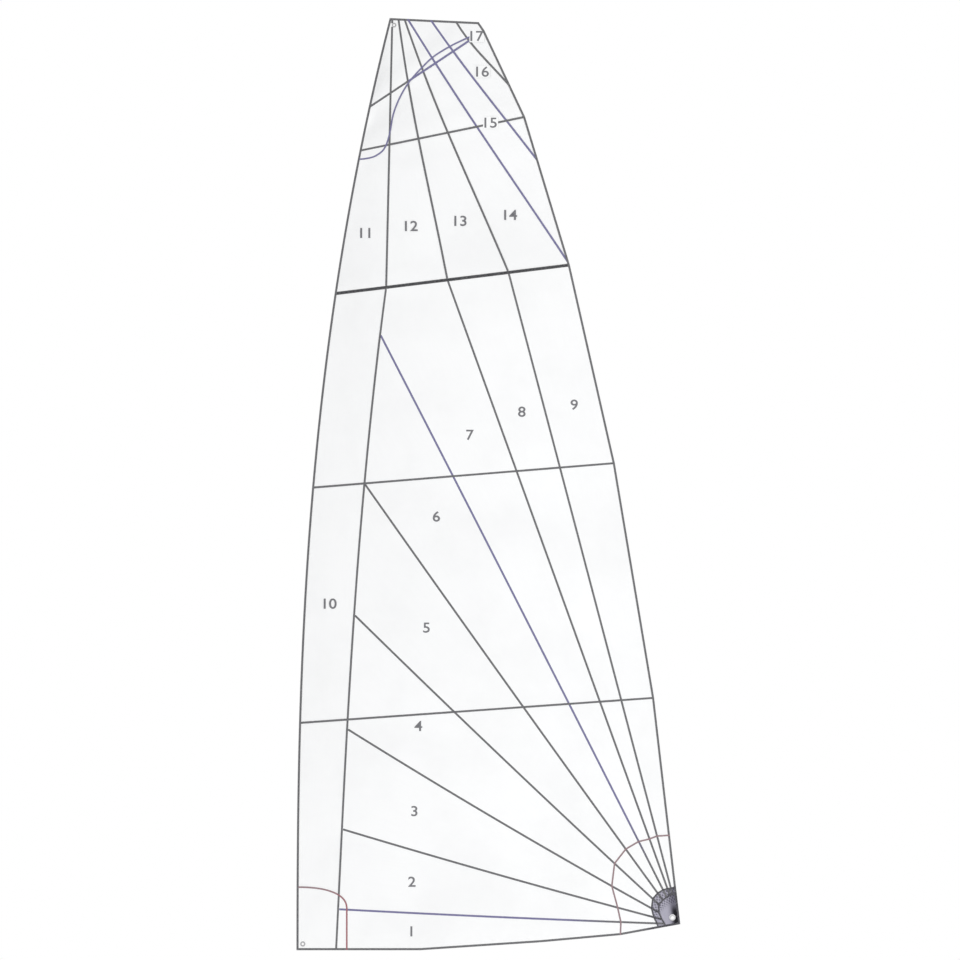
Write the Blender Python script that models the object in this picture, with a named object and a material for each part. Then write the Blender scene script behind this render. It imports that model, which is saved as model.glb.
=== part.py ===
"""Square-top tri-radial mainsail with five full-length battens, set to its flying shape.

Frame: origin at the tack corner, +X aft along the foot, +Y to starboard (the sail bellies that way), +Z up.
Lengths are metres. Points on the sail are given in the side view as (x aft, z up). The cloth is a faceted
sheet over that view: its facets hang on straight rows from luff to leech, each row a circular arc in
section, and every layer lies at its own constant distance to starboard of the sheet, so layers nest.
"""

import math
from collections import namedtuple

import bmesh
import bpy
import numpy as np
from mathutils import Matrix, Vector
from mathutils.geometry import delaunay_2d_cdt

# Outline in the side view: the luff from the tack, the head line that drops aft from it, and the clew
TACK = (0.0, 0.0)
LUFF_HEIGHT = 6.80
LUFF_RAKE = 0.680
LUFF_POWER = 2.55
LUFF_SPANS = 12
HEAD_LENGTH = 0.650
HEAD_DROP = 0.030
CLEW = (2.800, 0.190)
# Foot: shares of the way from tack to clew, and how far the edge hangs below the straight there
FOOT_CURVE = ((0.3229, 0.0613), (0.6361, 0.0629), (0.8443, 0.0504), (0.9489, 0.0163))

# Battens: the luff end as a share of the luff's height, the leech end as a share of the straight from the
# clew to the head's aft corner, the roach aft of that straight, then the sail's camber and twist (degrees)
Batten = namedtuple("Batten", "luff leech roach camber twist")
BATTENS = {
    "lower": Batten(0.2438, 0.2509, 0.178, 0.083, 2.5),
    "middle": Batten(0.4962, 0.5111, 0.274, 0.088, 5.5),
    "upper": Batten(0.7043, 0.7307, 0.269, 0.085, 8.0),
    "top": Batten(0.8576, 0.8950, 0.184, 0.078, 9.0),
    "gaff": Batten(0.9038, 0.9907, 0.028, 0.072, 7.5),
}
FOOT_CAMBER = 0.055
FOOT_TWIST = 0.0
HEAD_CAMBER = 0.050
HEAD_TWIST = 10.5

# Facet grid of the sheet: a first column along the luff, then even ones; each batten lies on a band
LUFF_COLUMN = 0.105
FOOT_LUFF_COLUMN = 0.300
EVEN_COLUMNS = 12
LUFF_MARGIN = 0.030
LEECH_MARGIN = 0.010
GRID_BELOW_FOOT = 0.030
GRID_ABOVE_HEAD = 0.030
BAND_MARGIN = 0.0008
CROSSING_STEPS = 20
JOIN_DISTANCE = 1e-5
BOX_MARGIN = 1e-4

# Luff panel: its width at the foot, how much wider it gets, and the share of the luff where it is widest
LUFF_PANEL_WIDTH = 0.289
LUFF_PANEL_SWELL = 0.091
LUFF_PANEL_WIDEST = 0.53
# Radial seams: share of the luff's height where each leaves the luff panel, and its bow; all run to the clew
SEAM_LUFF_SHARES = (0.0440, 0.1300, 0.2374, 0.3600, 0.5006, 0.6607)
SEAM_BOWS = (0.006, 0.012, 0.020, 0.014, 0.008, -0.006)
BOW_STEPS = 4
# Seams met on the cross seam, on the head line (aft of the luff) and on the leech
CROSS_SEAM_SHARES = (0.4796, 0.7391)
HEAD_SEAMS = (0.0195, 0.0633, 0.1070, 0.1306, 0.2987, 0.4807)
LEECH_SEAM_SHARES = (0.8445, 0.9268)

# Corner patches: reach from the clew along the foot, each radial seam and the leech
CLEW_PATCH_REACH = (0.444, 0.434, 0.473, 0.572, 0.653, 0.677, 0.675, 0.661, 0.665, 0.653)
CLEW_FAN_REACH = (0.162, 0.170, 0.200, 0.240, 0.273, 0.280, 0.280, 0.275, 0.270, 0.275)
CLEW_TIP_REACH = (0.110, 0.115, 0.140, 0.180, 0.212, 0.217, 0.220, 0.225, 0.225, 0.225)
# The outline of a clew patch is carried past the foot and leech by an angle (degrees) and past the corner;
# its foot ray runs towards this point of the foot, counted from the clew
CLEW_PATCH_SPREAD = 12.0
FOOT_RAY = 3
CLEW_PATCH_PAST = 0.075
HEAD_TIP_REACH = 0.170
TACK_TIP_REACH = 0.150
# Tack patch: how far it laps past the luff panel, its whole height, and the height of its straight side
TACK_PATCH_LAP = 0.078
TACK_PATCH_HEIGHT = 0.460
TACK_PATCH_SIDE = 0.300
TACK_PATCH_POWER = 2.4
TACK_PATCH_STEPS = 5
# Head patch: its lower edge from the head's luff corner, then shares of the gaff batten and the rise above it
HEAD_PATCH = (
    (-0.255, -1.032),
    (-0.171, -1.025),
    (-0.100, -1.004),
    (-0.037, -0.949),
    (0.000, -0.843),
    (0.026, -0.704),
    (0.075, -0.578),
)
HEAD_PATCH_RISE = ((0.3480, -0.007), (0.4884, 0.030), (0.5995, 0.048), (0.7442, 0.042), (0.8692, 0.024))
DISC_SIDES = 24
HOLE_SIDES = 16

# Cloth, seams and edges
CLOTH = 0.0004
LAYER_GAP = 0.0003
SEAM_LAP = 0.018
TAPE_WIDTH = 0.020
BUTT_GAP = 0.0004
BOLT_ROPE = 0.008
ROPE_GAP = 0.0005
ROPE_END = 0.012

# Batten pockets, battens and their caps
BATTEN_WIDTH = 0.014
BATTEN_THICKNESS = 0.0024
BATTEN_STEPS = 24
CAP_WALL_SIDE = 0.0015
CAP_WALL_FACE = 0.0008
CAP_LENGTH = 0.045
CAP_END_WALL = 0.006
CAP_FIT = 0.0003
CAP_NOSE = 0.65
TUNNEL_GAP = 0.0003
TUNNEL_SIDE_GAP = 0.0015
POCKET_SLOPE = 0.003
POCKET_FLANGE = 0.007
POCKET_RAMP = 0.060
POCKET_END_GAP = 0.004
POCKET_TAPE_GAP = 0.003
LEECH_END_INSET = 0.006

# Pressed corner rings: place from its corner, bore radius, flange radius
RINGS = {
    "tack": ((0.046, 0.046), 0.009, 0.019),
    "clew": ((-0.057, 0.0485), 0.012, 0.024),
    "head": ((0.032, -0.052), 0.008, 0.017),
}
RING_SLEEVE = 0.0012
RING_FLANGE = 0.0016
RING_LIP = 0.0012
RING_CHAMFER = 0.0008
RING_SEGMENTS = 20
RING_HOLE_CLEAR = 0.0020
SMOOTH_ANGLE = 40.0

# Colours (linear) and finish: colour, roughness, metallic
WHITE_CLOTH = ((0.86, 0.87, 0.88), 0.55, 0.0)
PATCH_CLOTH = ((0.80, 0.81, 0.82), 0.60, 0.0)
TAPE_CLOTH = ((0.18, 0.18, 0.19), 0.65, 0.0)
POCKET_CLOTH = ((0.62, 0.63, 0.65), 0.60, 0.0)
ROPE_CORE = ((0.75, 0.74, 0.70), 0.80, 0.0)
GLASS_BATTEN = ((0.62, 0.58, 0.35), 0.35, 0.0)
CAP_PLASTIC = ((0.05, 0.05, 0.055), 0.45, 0.0)
RING_STEEL = ((0.62, 0.62, 0.62), 0.25, 1.0)


# Layer levels, counted from the sheet towards starboard
def layer(index):
    """Distance from the sheet to the near face of cloth layer number index."""
    return index * (CLOTH + LAYER_GAP)


LAYER_A, LAYER_B, LAYER_C, LAYER_D = (layer(i) for i in range(4))
STARBOARD_PATCH = layer(4)
STARBOARD_FAN = layer(5)
PORT_PATCH = layer(-1)
PORT_FAN = layer(-2)


# Outline
HEAD_LUFF_CORNER = (LUFF_RAKE, LUFF_HEIGHT)
HEAD_CORNER = (LUFF_RAKE + HEAD_LENGTH, LUFF_HEIGHT - HEAD_DROP)


def luff_point(height):
    """Point of the luff at a height: its aft drift grows with a power of the height."""
    share = max(height / LUFF_HEIGHT, 0.0)
    return (LUFF_RAKE * share ** LUFF_POWER, height)


def leech_height(share):
    """Height on the leech at a share of the way from the clew to the head's aft corner."""
    return CLEW[1] + (HEAD_CORNER[1] - CLEW[1]) * share


def batten_leech(name):
    """Leech end of a batten: aft by its roach of the straight from the clew to the head's aft corner."""
    batten = BATTENS[name]
    straight = CLEW[0] + (HEAD_CORNER[0] - CLEW[0]) * batten.leech
    return (straight + batten.roach, leech_height(batten.leech))


def clear_all():
    """Empty the scene."""
    for item in list(bpy.data.objects):
        bpy.data.objects.remove(item, do_unlink=True)


def outline_sides():
    """The sail's four sides as point lists, anticlockwise in the side view from the tack."""
    foot = [TACK, *((CLEW[0] * share, CLEW[1] * share - drop) for share, drop in FOOT_CURVE), CLEW]
    leech = [CLEW, *(batten_leech(name) for name in BATTENS), HEAD_CORNER]
    head = [HEAD_CORNER, HEAD_LUFF_CORNER]
    luff = [luff_point(LUFF_HEIGHT * (1.0 - i / LUFF_SPANS)) for i in range(LUFF_SPANS + 1)]
    return {"foot": foot, "leech": leech, "head": head, "luff": luff}


def meet(p, d, q, e):
    """Crossing point of the line through p along d and the line through q along e."""
    cross = d[0] * e[1] - d[1] * e[0]
    if abs(cross) < 1e-9:
        return np.array(q, float)
    t = ((q[0] - p[0]) * e[1] - (q[1] - p[1]) * e[0]) / cross
    return np.array((p[0] + t * d[0], p[1] + t * d[1]))


def moved_polygon(points, distances):
    """Anticlockwise polygon with each side moved outwards by its own distance (inwards if negative)."""
    pts = [np.array(p, float) for p in points]
    count = len(pts)
    lines = []
    for i in range(count):
        along = pts[(i + 1) % count] - pts[i]
        along = along / np.linalg.norm(along)
        outward = np.array((along[1], -along[0]))
        lines.append((pts[i] + outward * distances[i], along))
    moved = []
    for i in range(count):
        before, here = lines[i - 1], lines[i]
        moved.append(meet(before[0], before[1], here[0], here[1]))
    return moved


class Outline:
    """The sail's outline polygon with its sides, and copies of it drawn in from the edge."""

    def __init__(self):
        self.points = []
        self.spans = {}
        self.side_of_edge = []
        for name, side in outline_sides().items():
            first = len(self.points)
            self.points += side[:-1]
            self.spans[name] = (first, first + len(side) - 1)
            self.side_of_edge += [name] * (len(side) - 1)

    def inset(self, distance, luff=None):
        """Outline drawn in by one distance, or by another along the luff."""
        by_side = {"luff": distance if luff is None else luff}
        return moved_polygon(self.points, [-by_side.get(side, distance) for side in self.side_of_edge])

    def side(self, name, distance, trim):
        """One side drawn in by a distance, its ends cut back by trim from the corners' mitre lines."""
        ring = self.inset(distance)
        first, last = self.spans[name]
        line = [ring[i % len(ring)] for i in range(first, last + 1)]
        start = line[1] - line[0]
        end = line[-2] - line[-1]
        line[0] = line[0] + start / np.linalg.norm(start) * trim
        line[-1] = line[-1] + end / np.linalg.norm(end) * trim
        return line


OUTLINE = Outline()
CAP_WIDTH = BATTEN_WIDTH + 2 * (CAP_FIT + CAP_WALL_SIDE)
CAP_DEPTH = BATTEN_THICKNESS + 2 * (CAP_FIT + CAP_WALL_FACE)
POCKET_HALF = CAP_WIDTH / 2 + TUNNEL_SIDE_GAP
POCKET_EDGE = POCKET_HALF + POCKET_SLOPE + POCKET_FLANGE
BAND_HALF = POCKET_EDGE + BAND_MARGIN
EDGE_INSET = CLOTH + LAYER_GAP
LUFF_INSET = CLOTH + 2 * ROPE_GAP + BOLT_ROPE
PATCH_INSET = TAPE_WIDTH + BUTT_GAP


# Facet sheet
class Row:
    """A straight line from luff to leech in the side view, whose section is a circular arc."""

    def __init__(self, start, end, camber, twist):
        self.start = np.array(start, float)
        run = np.array(end, float) - self.start
        self.length = float(np.linalg.norm(run))
        self.along = run / self.length
        self.across = np.array((-self.along[1], self.along[0]))
        swing = self.length * math.tan(math.radians(twist))
        chord = math.hypot(self.length, swing)
        depth = camber * chord
        self.radius = (chord ** 2 / 4 + depth ** 2) / (2 * depth)
        normal = (-swing / chord, self.length / chord)
        drop = depth - self.radius
        self.centre_s = self.length / 2 + normal[0] * drop
        self.centre_y = swing / 2 + normal[1] * drop

    def point(self, share):
        """Side-view point at a share of the row's length."""
        return self.start + self.along * self.length * share

    def offset(self, distance):
        """How far to starboard the arc lies at a distance along the row."""
        return self.centre_y + math.sqrt(self.radius ** 2 - (distance - self.centre_s) ** 2)

    def angle(self, distance):
        """Angle on the arc, from starboard towards the leech, at a distance along the row."""
        return math.asin((distance - self.centre_s) / self.radius)


BATTEN_ROWS = {
    name: Row(luff_point(LUFF_HEIGHT * batten.luff), batten_leech(name), batten.camber, batten.twist)
    for name, batten in BATTENS.items()
}


def halfway(row_a, row_b, shape_a, shape_b):
    """A row halfway between two others, with their mean camber and twist."""
    start = (row_a.start + row_b.start) / 2
    end = (row_a.point(1.0) + row_b.point(1.0)) / 2
    return Row(start, end, (shape_a[0] + shape_b[0]) / 2, (shape_a[1] + shape_b[1]) / 2)


def luff_crossing(origin, along):
    """Distance from a point to the luff, along a side-view direction."""
    distance = 0.0
    for _ in range(CROSSING_STEPS):
        spot = origin + along * distance
        distance -= (spot[0] - luff_point(spot[1])[0]) / along[0]
    return distance


def grid_row(row, shift=0.0, luff_column=LUFF_COLUMN):
    """Side-view corners and offsets of a grid row: a row's arc, moved across itself, and straight from
    its first even column to the luff, which lies at no offset."""
    origin = row.start + row.across * shift
    luff = luff_crossing(origin, row.along)
    stations = list(np.linspace(luff_column, row.length * (1.0 + LEECH_MARGIN), EVEN_COLUMNS + 1))
    offsets = [row.offset(station) for station in stations]
    slope = offsets[0] / (stations[0] - luff)
    stations.insert(0, luff - LUFF_MARGIN)
    offsets.insert(0, -slope * LUFF_MARGIN)
    return [origin + row.along * station for station in stations], offsets


def sheet_rows():
    """Grid rows from below the foot to above the head, and the numbers of those that start a band."""
    lower = batten_leech("lower")
    clew_drop = (CLEW[1] + GRID_BELOW_FOOT) / (lower[1] - CLEW[1])
    leech_foot = CLEW[0] + (CLEW[0] - lower[0]) * clew_drop
    foot = Row((0.0, -GRID_BELOW_FOOT), (leech_foot, -GRID_BELOW_FOOT), FOOT_CAMBER, FOOT_TWIST)
    head_luff = luff_point(LUFF_HEIGHT + GRID_ABOVE_HEAD)
    head = Row(head_luff, (HEAD_CORNER[0], HEAD_CORNER[1] + GRID_ABOVE_HEAD), HEAD_CAMBER, HEAD_TWIST)
    grid = [grid_row(foot, luff_column=FOOT_LUFF_COLUMN)]
    bands = set()
    last, last_shape = foot, (FOOT_CAMBER, FOOT_TWIST)
    for name, batten in BATTENS.items():
        row, shape = BATTEN_ROWS[name], (batten.camber, batten.twist)
        # The top and gaff battens are too near each other at the luff for a row between them
        if name != "gaff":
            grid.append(grid_row(halfway(last, row, last_shape, shape)))
        bands.add(len(grid))
        grid += [grid_row(row, -BAND_HALF), grid_row(row, BAND_HALF)]
        last, last_shape = row, shape
    grid.append(grid_row(head))
    return grid, bands


class Sheet:
    """The faceted sheet: grid corners in the side view, their starboard offsets, and their triangles."""

    def __init__(self):
        rows, bands = sheet_rows()
        self.flat = np.array([point for points, _ in rows for point in points])
        self.depth = np.array([offset for _, offsets in rows for offset in offsets])
        wide = len(rows[0][0])
        triangles = []
        self.coplanar = set()
        for j in range(len(rows) - 1):
            for i in range(wide - 1):
                a = j * wide + i
                b, c, d = a + 1, a + 1 + wide, a + wide
                if j == 0 and i < EVEN_COLUMNS / 2:
                    triangles += [(a, b, d), (b, c, d)]
                else:
                    triangles += [(a, b, c), (a, c, d)]
                if j in bands and i > 0:
                    self.coplanar.add((a, c))
        self.triangles = np.array(triangles)
        corners = self.flat[self.triangles]
        edge_1 = corners[:, 1] - corners[:, 0]
        edge_2 = corners[:, 2] - corners[:, 0]
        area = edge_1[:, 0] * edge_2[:, 1] - edge_1[:, 1] * edge_2[:, 0]
        depths = self.depth[self.triangles]
        rise_1 = depths[:, 1] - depths[:, 0]
        rise_2 = depths[:, 2] - depths[:, 0]
        slope_x = (rise_1 * edge_2[:, 1] - rise_2 * edge_1[:, 1]) / area
        slope_z = (rise_2 * edge_1[:, 0] - rise_1 * edge_2[:, 0]) / area
        self.slope = np.stack((slope_x, slope_z), axis=1)

    def facet(self, point):
        """Number of the facet under a side-view point, the nearest one if it lies outside."""
        corners = self.flat[self.triangles]
        worst = np.full(len(corners), np.inf)
        for k in range(3):
            a, b = corners[:, k], corners[:, (k + 1) % 3]
            side = (b[:, 0] - a[:, 0]) * (point[1] - a[:, 1]) - (b[:, 1] - a[:, 1]) * (point[0] - a[:, 0])
            worst = np.minimum(worst, side / np.linalg.norm(b - a, axis=1))
        return int(np.argmax(worst))

    def at(self, point):
        """Starboard offset of the sheet at a side-view point."""
        number = self.facet(point)
        corner = self.triangles[number][0]
        away = np.array(point) - self.flat[corner]
        return float(self.depth[corner] + away @ self.slope[number])

    def normal(self, point):
        """Unit normal of the facet under a point, towards starboard."""
        slope = self.slope[self.facet(point)]
        return Vector((-slope[0], 1.0, -slope[1])).normalized()

    def edges_near(self, low, high):
        """Facet edges whose facets reach into a side-view box."""
        found = set()
        for triangle in self.triangles:
            corners = self.flat[triangle]
            if np.all(corners.max(axis=0) >= low) and np.all(corners.min(axis=0) <= high):
                for k in range(3):
                    found.add(tuple(sorted((int(triangle[k]), int(triangle[(k + 1) % 3])))))
        return sorted(found - self.coplanar)


SHEET = Sheet()


# Solids over the sheet
def inside(polygon, points):
    """Which points lie inside a polygon, by crossings counted along a ray."""
    result = np.zeros(len(points), bool)
    count = len(polygon)
    for i in range(count):
        a, b = polygon[i], polygon[(i + 1) % count]
        spans = (a[1] > points[:, 1]) != (b[1] > points[:, 1])
        if a[1] == b[1]:
            continue
        crossing = a[0] + (points[:, 1] - a[1]) / (b[1] - a[1]) * (b[0] - a[0])
        result ^= spans & (points[:, 0] < crossing)
    return result


def cut_triangles(include, exclude, creases):
    """Side-view triangles inside every polygon of include, outside those of exclude, split on all lines."""
    wanted = np.array([p for polygon in include[:1] for p in polygon])
    low, high = wanted.min(axis=0) - BOX_MARGIN, wanted.max(axis=0) + BOX_MARGIN
    points = []
    edges = []
    used = {}
    for a, b in SHEET.edges_near(low, high):
        for corner in (a, b):
            if corner not in used:
                used[corner] = len(points)
                points.append(Vector(SHEET.flat[corner]))
        edges.append((used[a], used[b]))
    for polygon in list(include) + list(exclude):
        first = len(points)
        points += [Vector(p) for p in polygon]
        edges += [(first + i, first + (i + 1) % len(polygon)) for i in range(len(polygon))]
    for line in creases:
        first = len(points)
        points += [Vector(p) for p in line]
        edges += [(first + i, first + i + 1) for i in range(len(line) - 1)]
    flat, _, faces, _, _, _ = delaunay_2d_cdt(points, edges, [], 0, JOIN_DISTANCE)
    flat = np.array([tuple(p) for p in flat])
    faces = np.array([tuple(face) for face in faces])
    centres = flat[faces].mean(axis=1)
    keep = np.ones(len(faces), bool)
    for polygon in include:
        keep &= inside(polygon, centres)
    for polygon in exclude:
        keep &= ~inside(polygon, centres)
    faces = faces[keep]
    corners = flat[faces]
    edge_1 = corners[:, 1] - corners[:, 0]
    edge_2 = corners[:, 2] - corners[:, 0]
    turned = edge_1[:, 0] * edge_2[:, 1] - edge_1[:, 1] * edge_2[:, 0] < 0
    faces[turned] = faces[turned][:, ::-1]
    return flat, faces


def layered_mesh(name, flat, faces, levels, solid):
    """Closed body over side-view triangles: levels give each point's starboard offsets, solid says per
    triangle which gaps between neighbouring levels are filled."""
    depth = {}
    numbers = {}
    vertices = []

    def vertex(point, level):
        key = (point, level)
        if key not in numbers:
            if point not in depth:
                depth[point] = SHEET.at(flat[point])
            numbers[key] = len(vertices)
            x, z = flat[point]
            vertices.append((x, depth[point] + levels[level](flat[point]), z))
        return numbers[key]

    owner = {}
    filled = []
    for number, face in enumerate(faces):
        filled.append(solid(flat[face].mean(axis=0)))
        for k in range(3):
            owner[(face[k], face[(k + 1) % 3])] = number
    polygons = []
    slabs = len(levels) - 1
    for number, face in enumerate(faces):
        for slab in range(slabs):
            if not filled[number][slab]:
                continue
            if slab == 0 or not filled[number][slab - 1]:
                polygons.append([vertex(p, slab) for p in face])
            if slab == slabs - 1 or not filled[number][slab + 1]:
                polygons.append([vertex(p, slab + 1) for p in reversed(face)])
            for k in range(3):
                a, b = face[k], face[(k + 1) % 3]
                across = owner.get((b, a))
                if across is None or not filled[across][slab]:
                    low_a, high_a = vertex(a, slab), vertex(a, slab + 1)
                    low_b, high_b = vertex(b, slab), vertex(b, slab + 1)
                    polygons.append([low_a, high_a, high_b])
                    polygons.append([low_a, high_b, low_b])
    mesh = bpy.data.meshes.new(name)
    mesh.from_pydata(vertices, [], polygons)
    mesh.validate()
    return mesh


def finish(name, mesh, look, smooth=False, parent=None):
    """Object with its own material, linked to the scene."""
    material = bpy.data.materials.new(name)
    material.use_nodes = True
    shader = material.node_tree.nodes["Principled BSDF"]
    colour, roughness, metallic = look
    shader.inputs["Base Color"].default_value = (*colour, 1.0)
    shader.inputs["Roughness"].default_value = roughness
    shader.inputs["Metallic"].default_value = metallic
    mesh.materials.append(material)
    if smooth:
        mesh.shade_smooth()
        mesh.set_sharp_from_angle(angle=math.radians(SMOOTH_ANGLE))
    piece = bpy.data.objects.new(name, mesh)
    bpy.context.collection.objects.link(piece)
    if parent is not None:
        piece.parent = parent
    return piece


def cloth(name, level, include, exclude, look, creases=()):
    """One flat layer of cloth lying at a level on the sheet."""
    flat, faces = cut_triangles(include, exclude, creases)
    levels = [lambda point: level, lambda point: level + CLOTH]
    mesh = layered_mesh(name, flat, faces, levels, lambda centre: (True,))
    return finish(name, mesh, look)


# Seams
def luff_seam(height):
    """Point of the luff panel's aft seam at a height: the panel swells from the foot to its widest."""
    from_widest = 1.0 - height / (LUFF_PANEL_WIDEST * LUFF_HEIGHT)
    width = LUFF_PANEL_WIDTH + LUFF_PANEL_SWELL * (1.0 - from_widest ** 2)
    return (luff_point(height)[0] + width, height)


def cross_seam(aft):
    """Point of the cross seam, which lies along the upper batten, at a distance aft."""
    row = BATTEN_ROWS["upper"]
    return tuple(row.start + row.along * (aft - row.start[0]) / row.along[0])


def cross_seam_part(share):
    """Point of the cross seam at a share of its length."""
    return tuple(BATTEN_ROWS["upper"].point(share))


def cross_seam_junction():
    """Where the luff panel's aft seam meets the cross seam."""
    height = BATTEN_ROWS["upper"].start[1]
    for _ in range(CROSSING_STEPS):
        height = cross_seam(luff_seam(height)[0])[1]
    return luff_seam(height)


def leech_at(height):
    """Point of the leech at a height, on the straight between the batten ends."""
    side = outline_sides()["leech"]
    return (float(np.interp(height, [p[1] for p in side], [p[0] for p in side])), height)


def head_at(aft):
    """Point of the head line at a distance aft of its luff corner."""
    return (HEAD_LUFF_CORNER[0] + aft, HEAD_LUFF_CORNER[1] - HEAD_DROP * aft / HEAD_LENGTH)


def bowed(start, end, bow):
    """Line between two points that bows to its right by the given depth at the middle."""
    start, end = np.array(start), np.array(end)
    run = end - start
    right = np.array((run[1], -run[0])) / np.linalg.norm(run)
    shares = np.linspace(0.0, 1.0, BOW_STEPS + 1)
    return [start + run * t + right * bow * 4 * t * (1 - t) for t in shares]


# Every panel is listed as its own seam-to-seam outline, anticlockwise, from pieces marked seam or edge.
# A side marked edge lies on or beyond the sail's outline.
SEAM, EDGE = SEAM_LAP / 2, 0.0
BEYOND = 0.30
PAST_EDGE = 0.10


def stitched(*pieces):
    """Polygon from (points, lap) pieces: each run's sides are moved out by its lap."""
    points = []
    laps = []
    for run, lap in pieces:
        points += [tuple(p) for p in run[:-1]]
        laps += [lap] * (len(run) - 1)
    return moved_polygon(points, laps)


def radial_seams():
    """Seams that end at the clew, from the foot side up, each from its outer end."""
    from_luff = [luff_seam(LUFF_HEIGHT * share) for share in SEAM_LUFF_SHARES]
    from_cross_seam = [cross_seam_part(share) for share in CROSS_SEAM_SHARES]
    bows = list(SEAM_BOWS) + [0.0] * len(from_cross_seam)
    return [bowed(start, CLEW, bow) for start, bow in zip(from_luff + from_cross_seam, bows)]


def panel_shapes():
    """Polygons of the seventeen panels with their laps, before the sail's edges cut them."""
    seams = radial_seams()
    junction = cross_seam_junction()
    luff_count = len(SEAM_LUFF_SHARES)
    corner = np.array(CLEW)
    below = (corner[0] + BEYOND, -BEYOND)
    shapes = {}
    foot_luff = luff_seam(-BEYOND)
    shapes["panel_01"] = stitched(
        ([foot_luff, below, corner], EDGE),
        (seams[0][::-1], SEAM),
        ([seams[0][0], luff_seam(0.0), foot_luff], SEAM),
    )
    for i in range(luff_count - 1):
        lower, upper = seams[i], seams[i + 1]
        shapes[f"panel_{i + 2:02d}"] = stitched(
            (lower, SEAM), (upper[::-1], SEAM), ([upper[0], lower[0]], SEAM)
        )
    lower, upper = seams[luff_count - 1], seams[luff_count]
    shapes["panel_07"] = stitched(
        (lower, SEAM), (upper[::-1], SEAM), ([upper[0], junction], SEAM), ([junction, lower[0]], SEAM)
    )
    shapes["panel_08"] = stitched(
        (seams[6], SEAM), (seams[7][::-1], SEAM), ([seams[7][0], seams[6][0]], SEAM)
    )
    aft_cross = cross_seam(batten_leech("upper")[0] + BEYOND)
    shapes["panel_09"] = stitched(
        (seams[7], SEAM),
        ([corner, (corner[0] + BEYOND, corner[1]), aft_cross], EDGE),
        ([aft_cross, seams[7][0]], SEAM),
    )
    luff_joints = [luff_seam(0.0)] + [seam[0] for seam in seams[:luff_count]] + [junction]
    cross_luff = cross_seam(-BEYOND)
    shapes["panel_10"] = stitched(
        ([(-BEYOND, -BEYOND), foot_luff], EDGE),
        ([foot_luff, *luff_joints], SEAM),
        ([junction, cross_luff], SEAM),
        ([cross_luff, (-BEYOND, -BEYOND)], EDGE),
    )
    head = [head_at(aft) for aft in HEAD_SEAMS]
    leech_ends = [batten_leech("upper")] + [leech_at(leech_height(share)) for share in LEECH_SEAM_SHARES]
    feet = [junction, *(cross_seam_part(share) for share in CROSS_SEAM_SHARES), *leech_ends]
    tops = [lengthened(foot, top) for foot, top in zip(feet, head)]
    toes = feet[:3] + [lengthened(top, foot) for foot, top in zip(feet[3:], head[3:])]
    top_luff = (head[0][0] - BEYOND, LUFF_HEIGHT + BEYOND)
    shapes["panel_11"] = stitched(
        ([cross_luff, feet[0]], SEAM), ([feet[0], tops[0]], SEAM), ([tops[0], top_luff, cross_luff], EDGE)
    )
    for i, name in enumerate(("panel_12", "panel_13")):
        shapes[name] = stitched(
            ([feet[i], feet[i + 1]], SEAM),
            ([feet[i + 1], tops[i + 1]], SEAM),
            ([tops[i + 1], tops[i]], EDGE),
            ([tops[i], feet[i]], SEAM),
        )
    shapes["panel_14"] = stitched(
        ([feet[2], aft_cross], SEAM),
        ([aft_cross, toes[3]], EDGE),
        ([toes[3], tops[3]], SEAM),
        ([tops[3], tops[2]], EDGE),
        ([tops[2], feet[2]], SEAM),
    )
    for i, name in ((3, "panel_15"), (4, "panel_16")):
        shapes[name] = stitched(
            ([toes[i], toes[i + 1]], EDGE),
            ([toes[i + 1], tops[i + 1]], SEAM),
            ([tops[i + 1], tops[i]], EDGE),
            ([tops[i], toes[i]], SEAM),
        )
    aft_top = (HEAD_CORNER[0] + BEYOND, HEAD_CORNER[1] + BEYOND)
    shapes["panel_17"] = stitched(
        ([toes[5], aft_top, tops[5]], EDGE), ([tops[5], toes[5]], SEAM)
    )
    return shapes


def lengthened(start, end):
    """The end of a line carried on past the sail's edge."""
    run = np.array(end) - np.array(start)
    return tuple(np.array(end) + run / np.linalg.norm(run) * PAST_EDGE)


PANELS = [f"panel_{i:02d}" for i in range(1, 18)]
CLEW_GORES, HEAD_GORES = PANELS[:9], PANELS[10:15]
PANEL_LEVELS = dict(zip(
    PANELS,
    (LAYER_A, LAYER_B, LAYER_A, LAYER_B, LAYER_A, LAYER_B, LAYER_A, LAYER_B, LAYER_A,
     LAYER_C, LAYER_B, LAYER_D, LAYER_C, LAYER_D, LAYER_C, LAYER_D, LAYER_C),
))


# Corners
def clew_fan(reaches, extra=0.0):
    """Polygon round the clew with its own reach along the foot, each radial seam and the leech."""
    corner = np.array(CLEW)
    foot = outline_sides()["foot"][-FOOT_RAY]
    ends = [foot] + [seam[-2] for seam in radial_seams()] + [batten_leech("lower")]
    rays = [np.array(end) - corner for end in ends]
    rays = [ray / np.linalg.norm(ray) for ray in rays]
    rim = [corner + ray * (reach + extra) for ray, reach in zip(rays, reaches)]
    first = corner + turned(rays[0], CLEW_PATCH_SPREAD) * (reaches[0] + extra)
    last = corner + turned(rays[-1], -CLEW_PATCH_SPREAD) * (reaches[-1] + extra)
    beyond = corner - (rays[0] + rays[-1]) * CLEW_PATCH_PAST
    return [first, *rim, last, beyond][::-1]


def turned(ray, degrees):
    """A side-view direction turned anticlockwise."""
    cos, sin = math.cos(math.radians(degrees)), math.sin(math.radians(degrees))
    return np.array((ray[0] * cos - ray[1] * sin, ray[0] * sin + ray[1] * cos))


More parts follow.
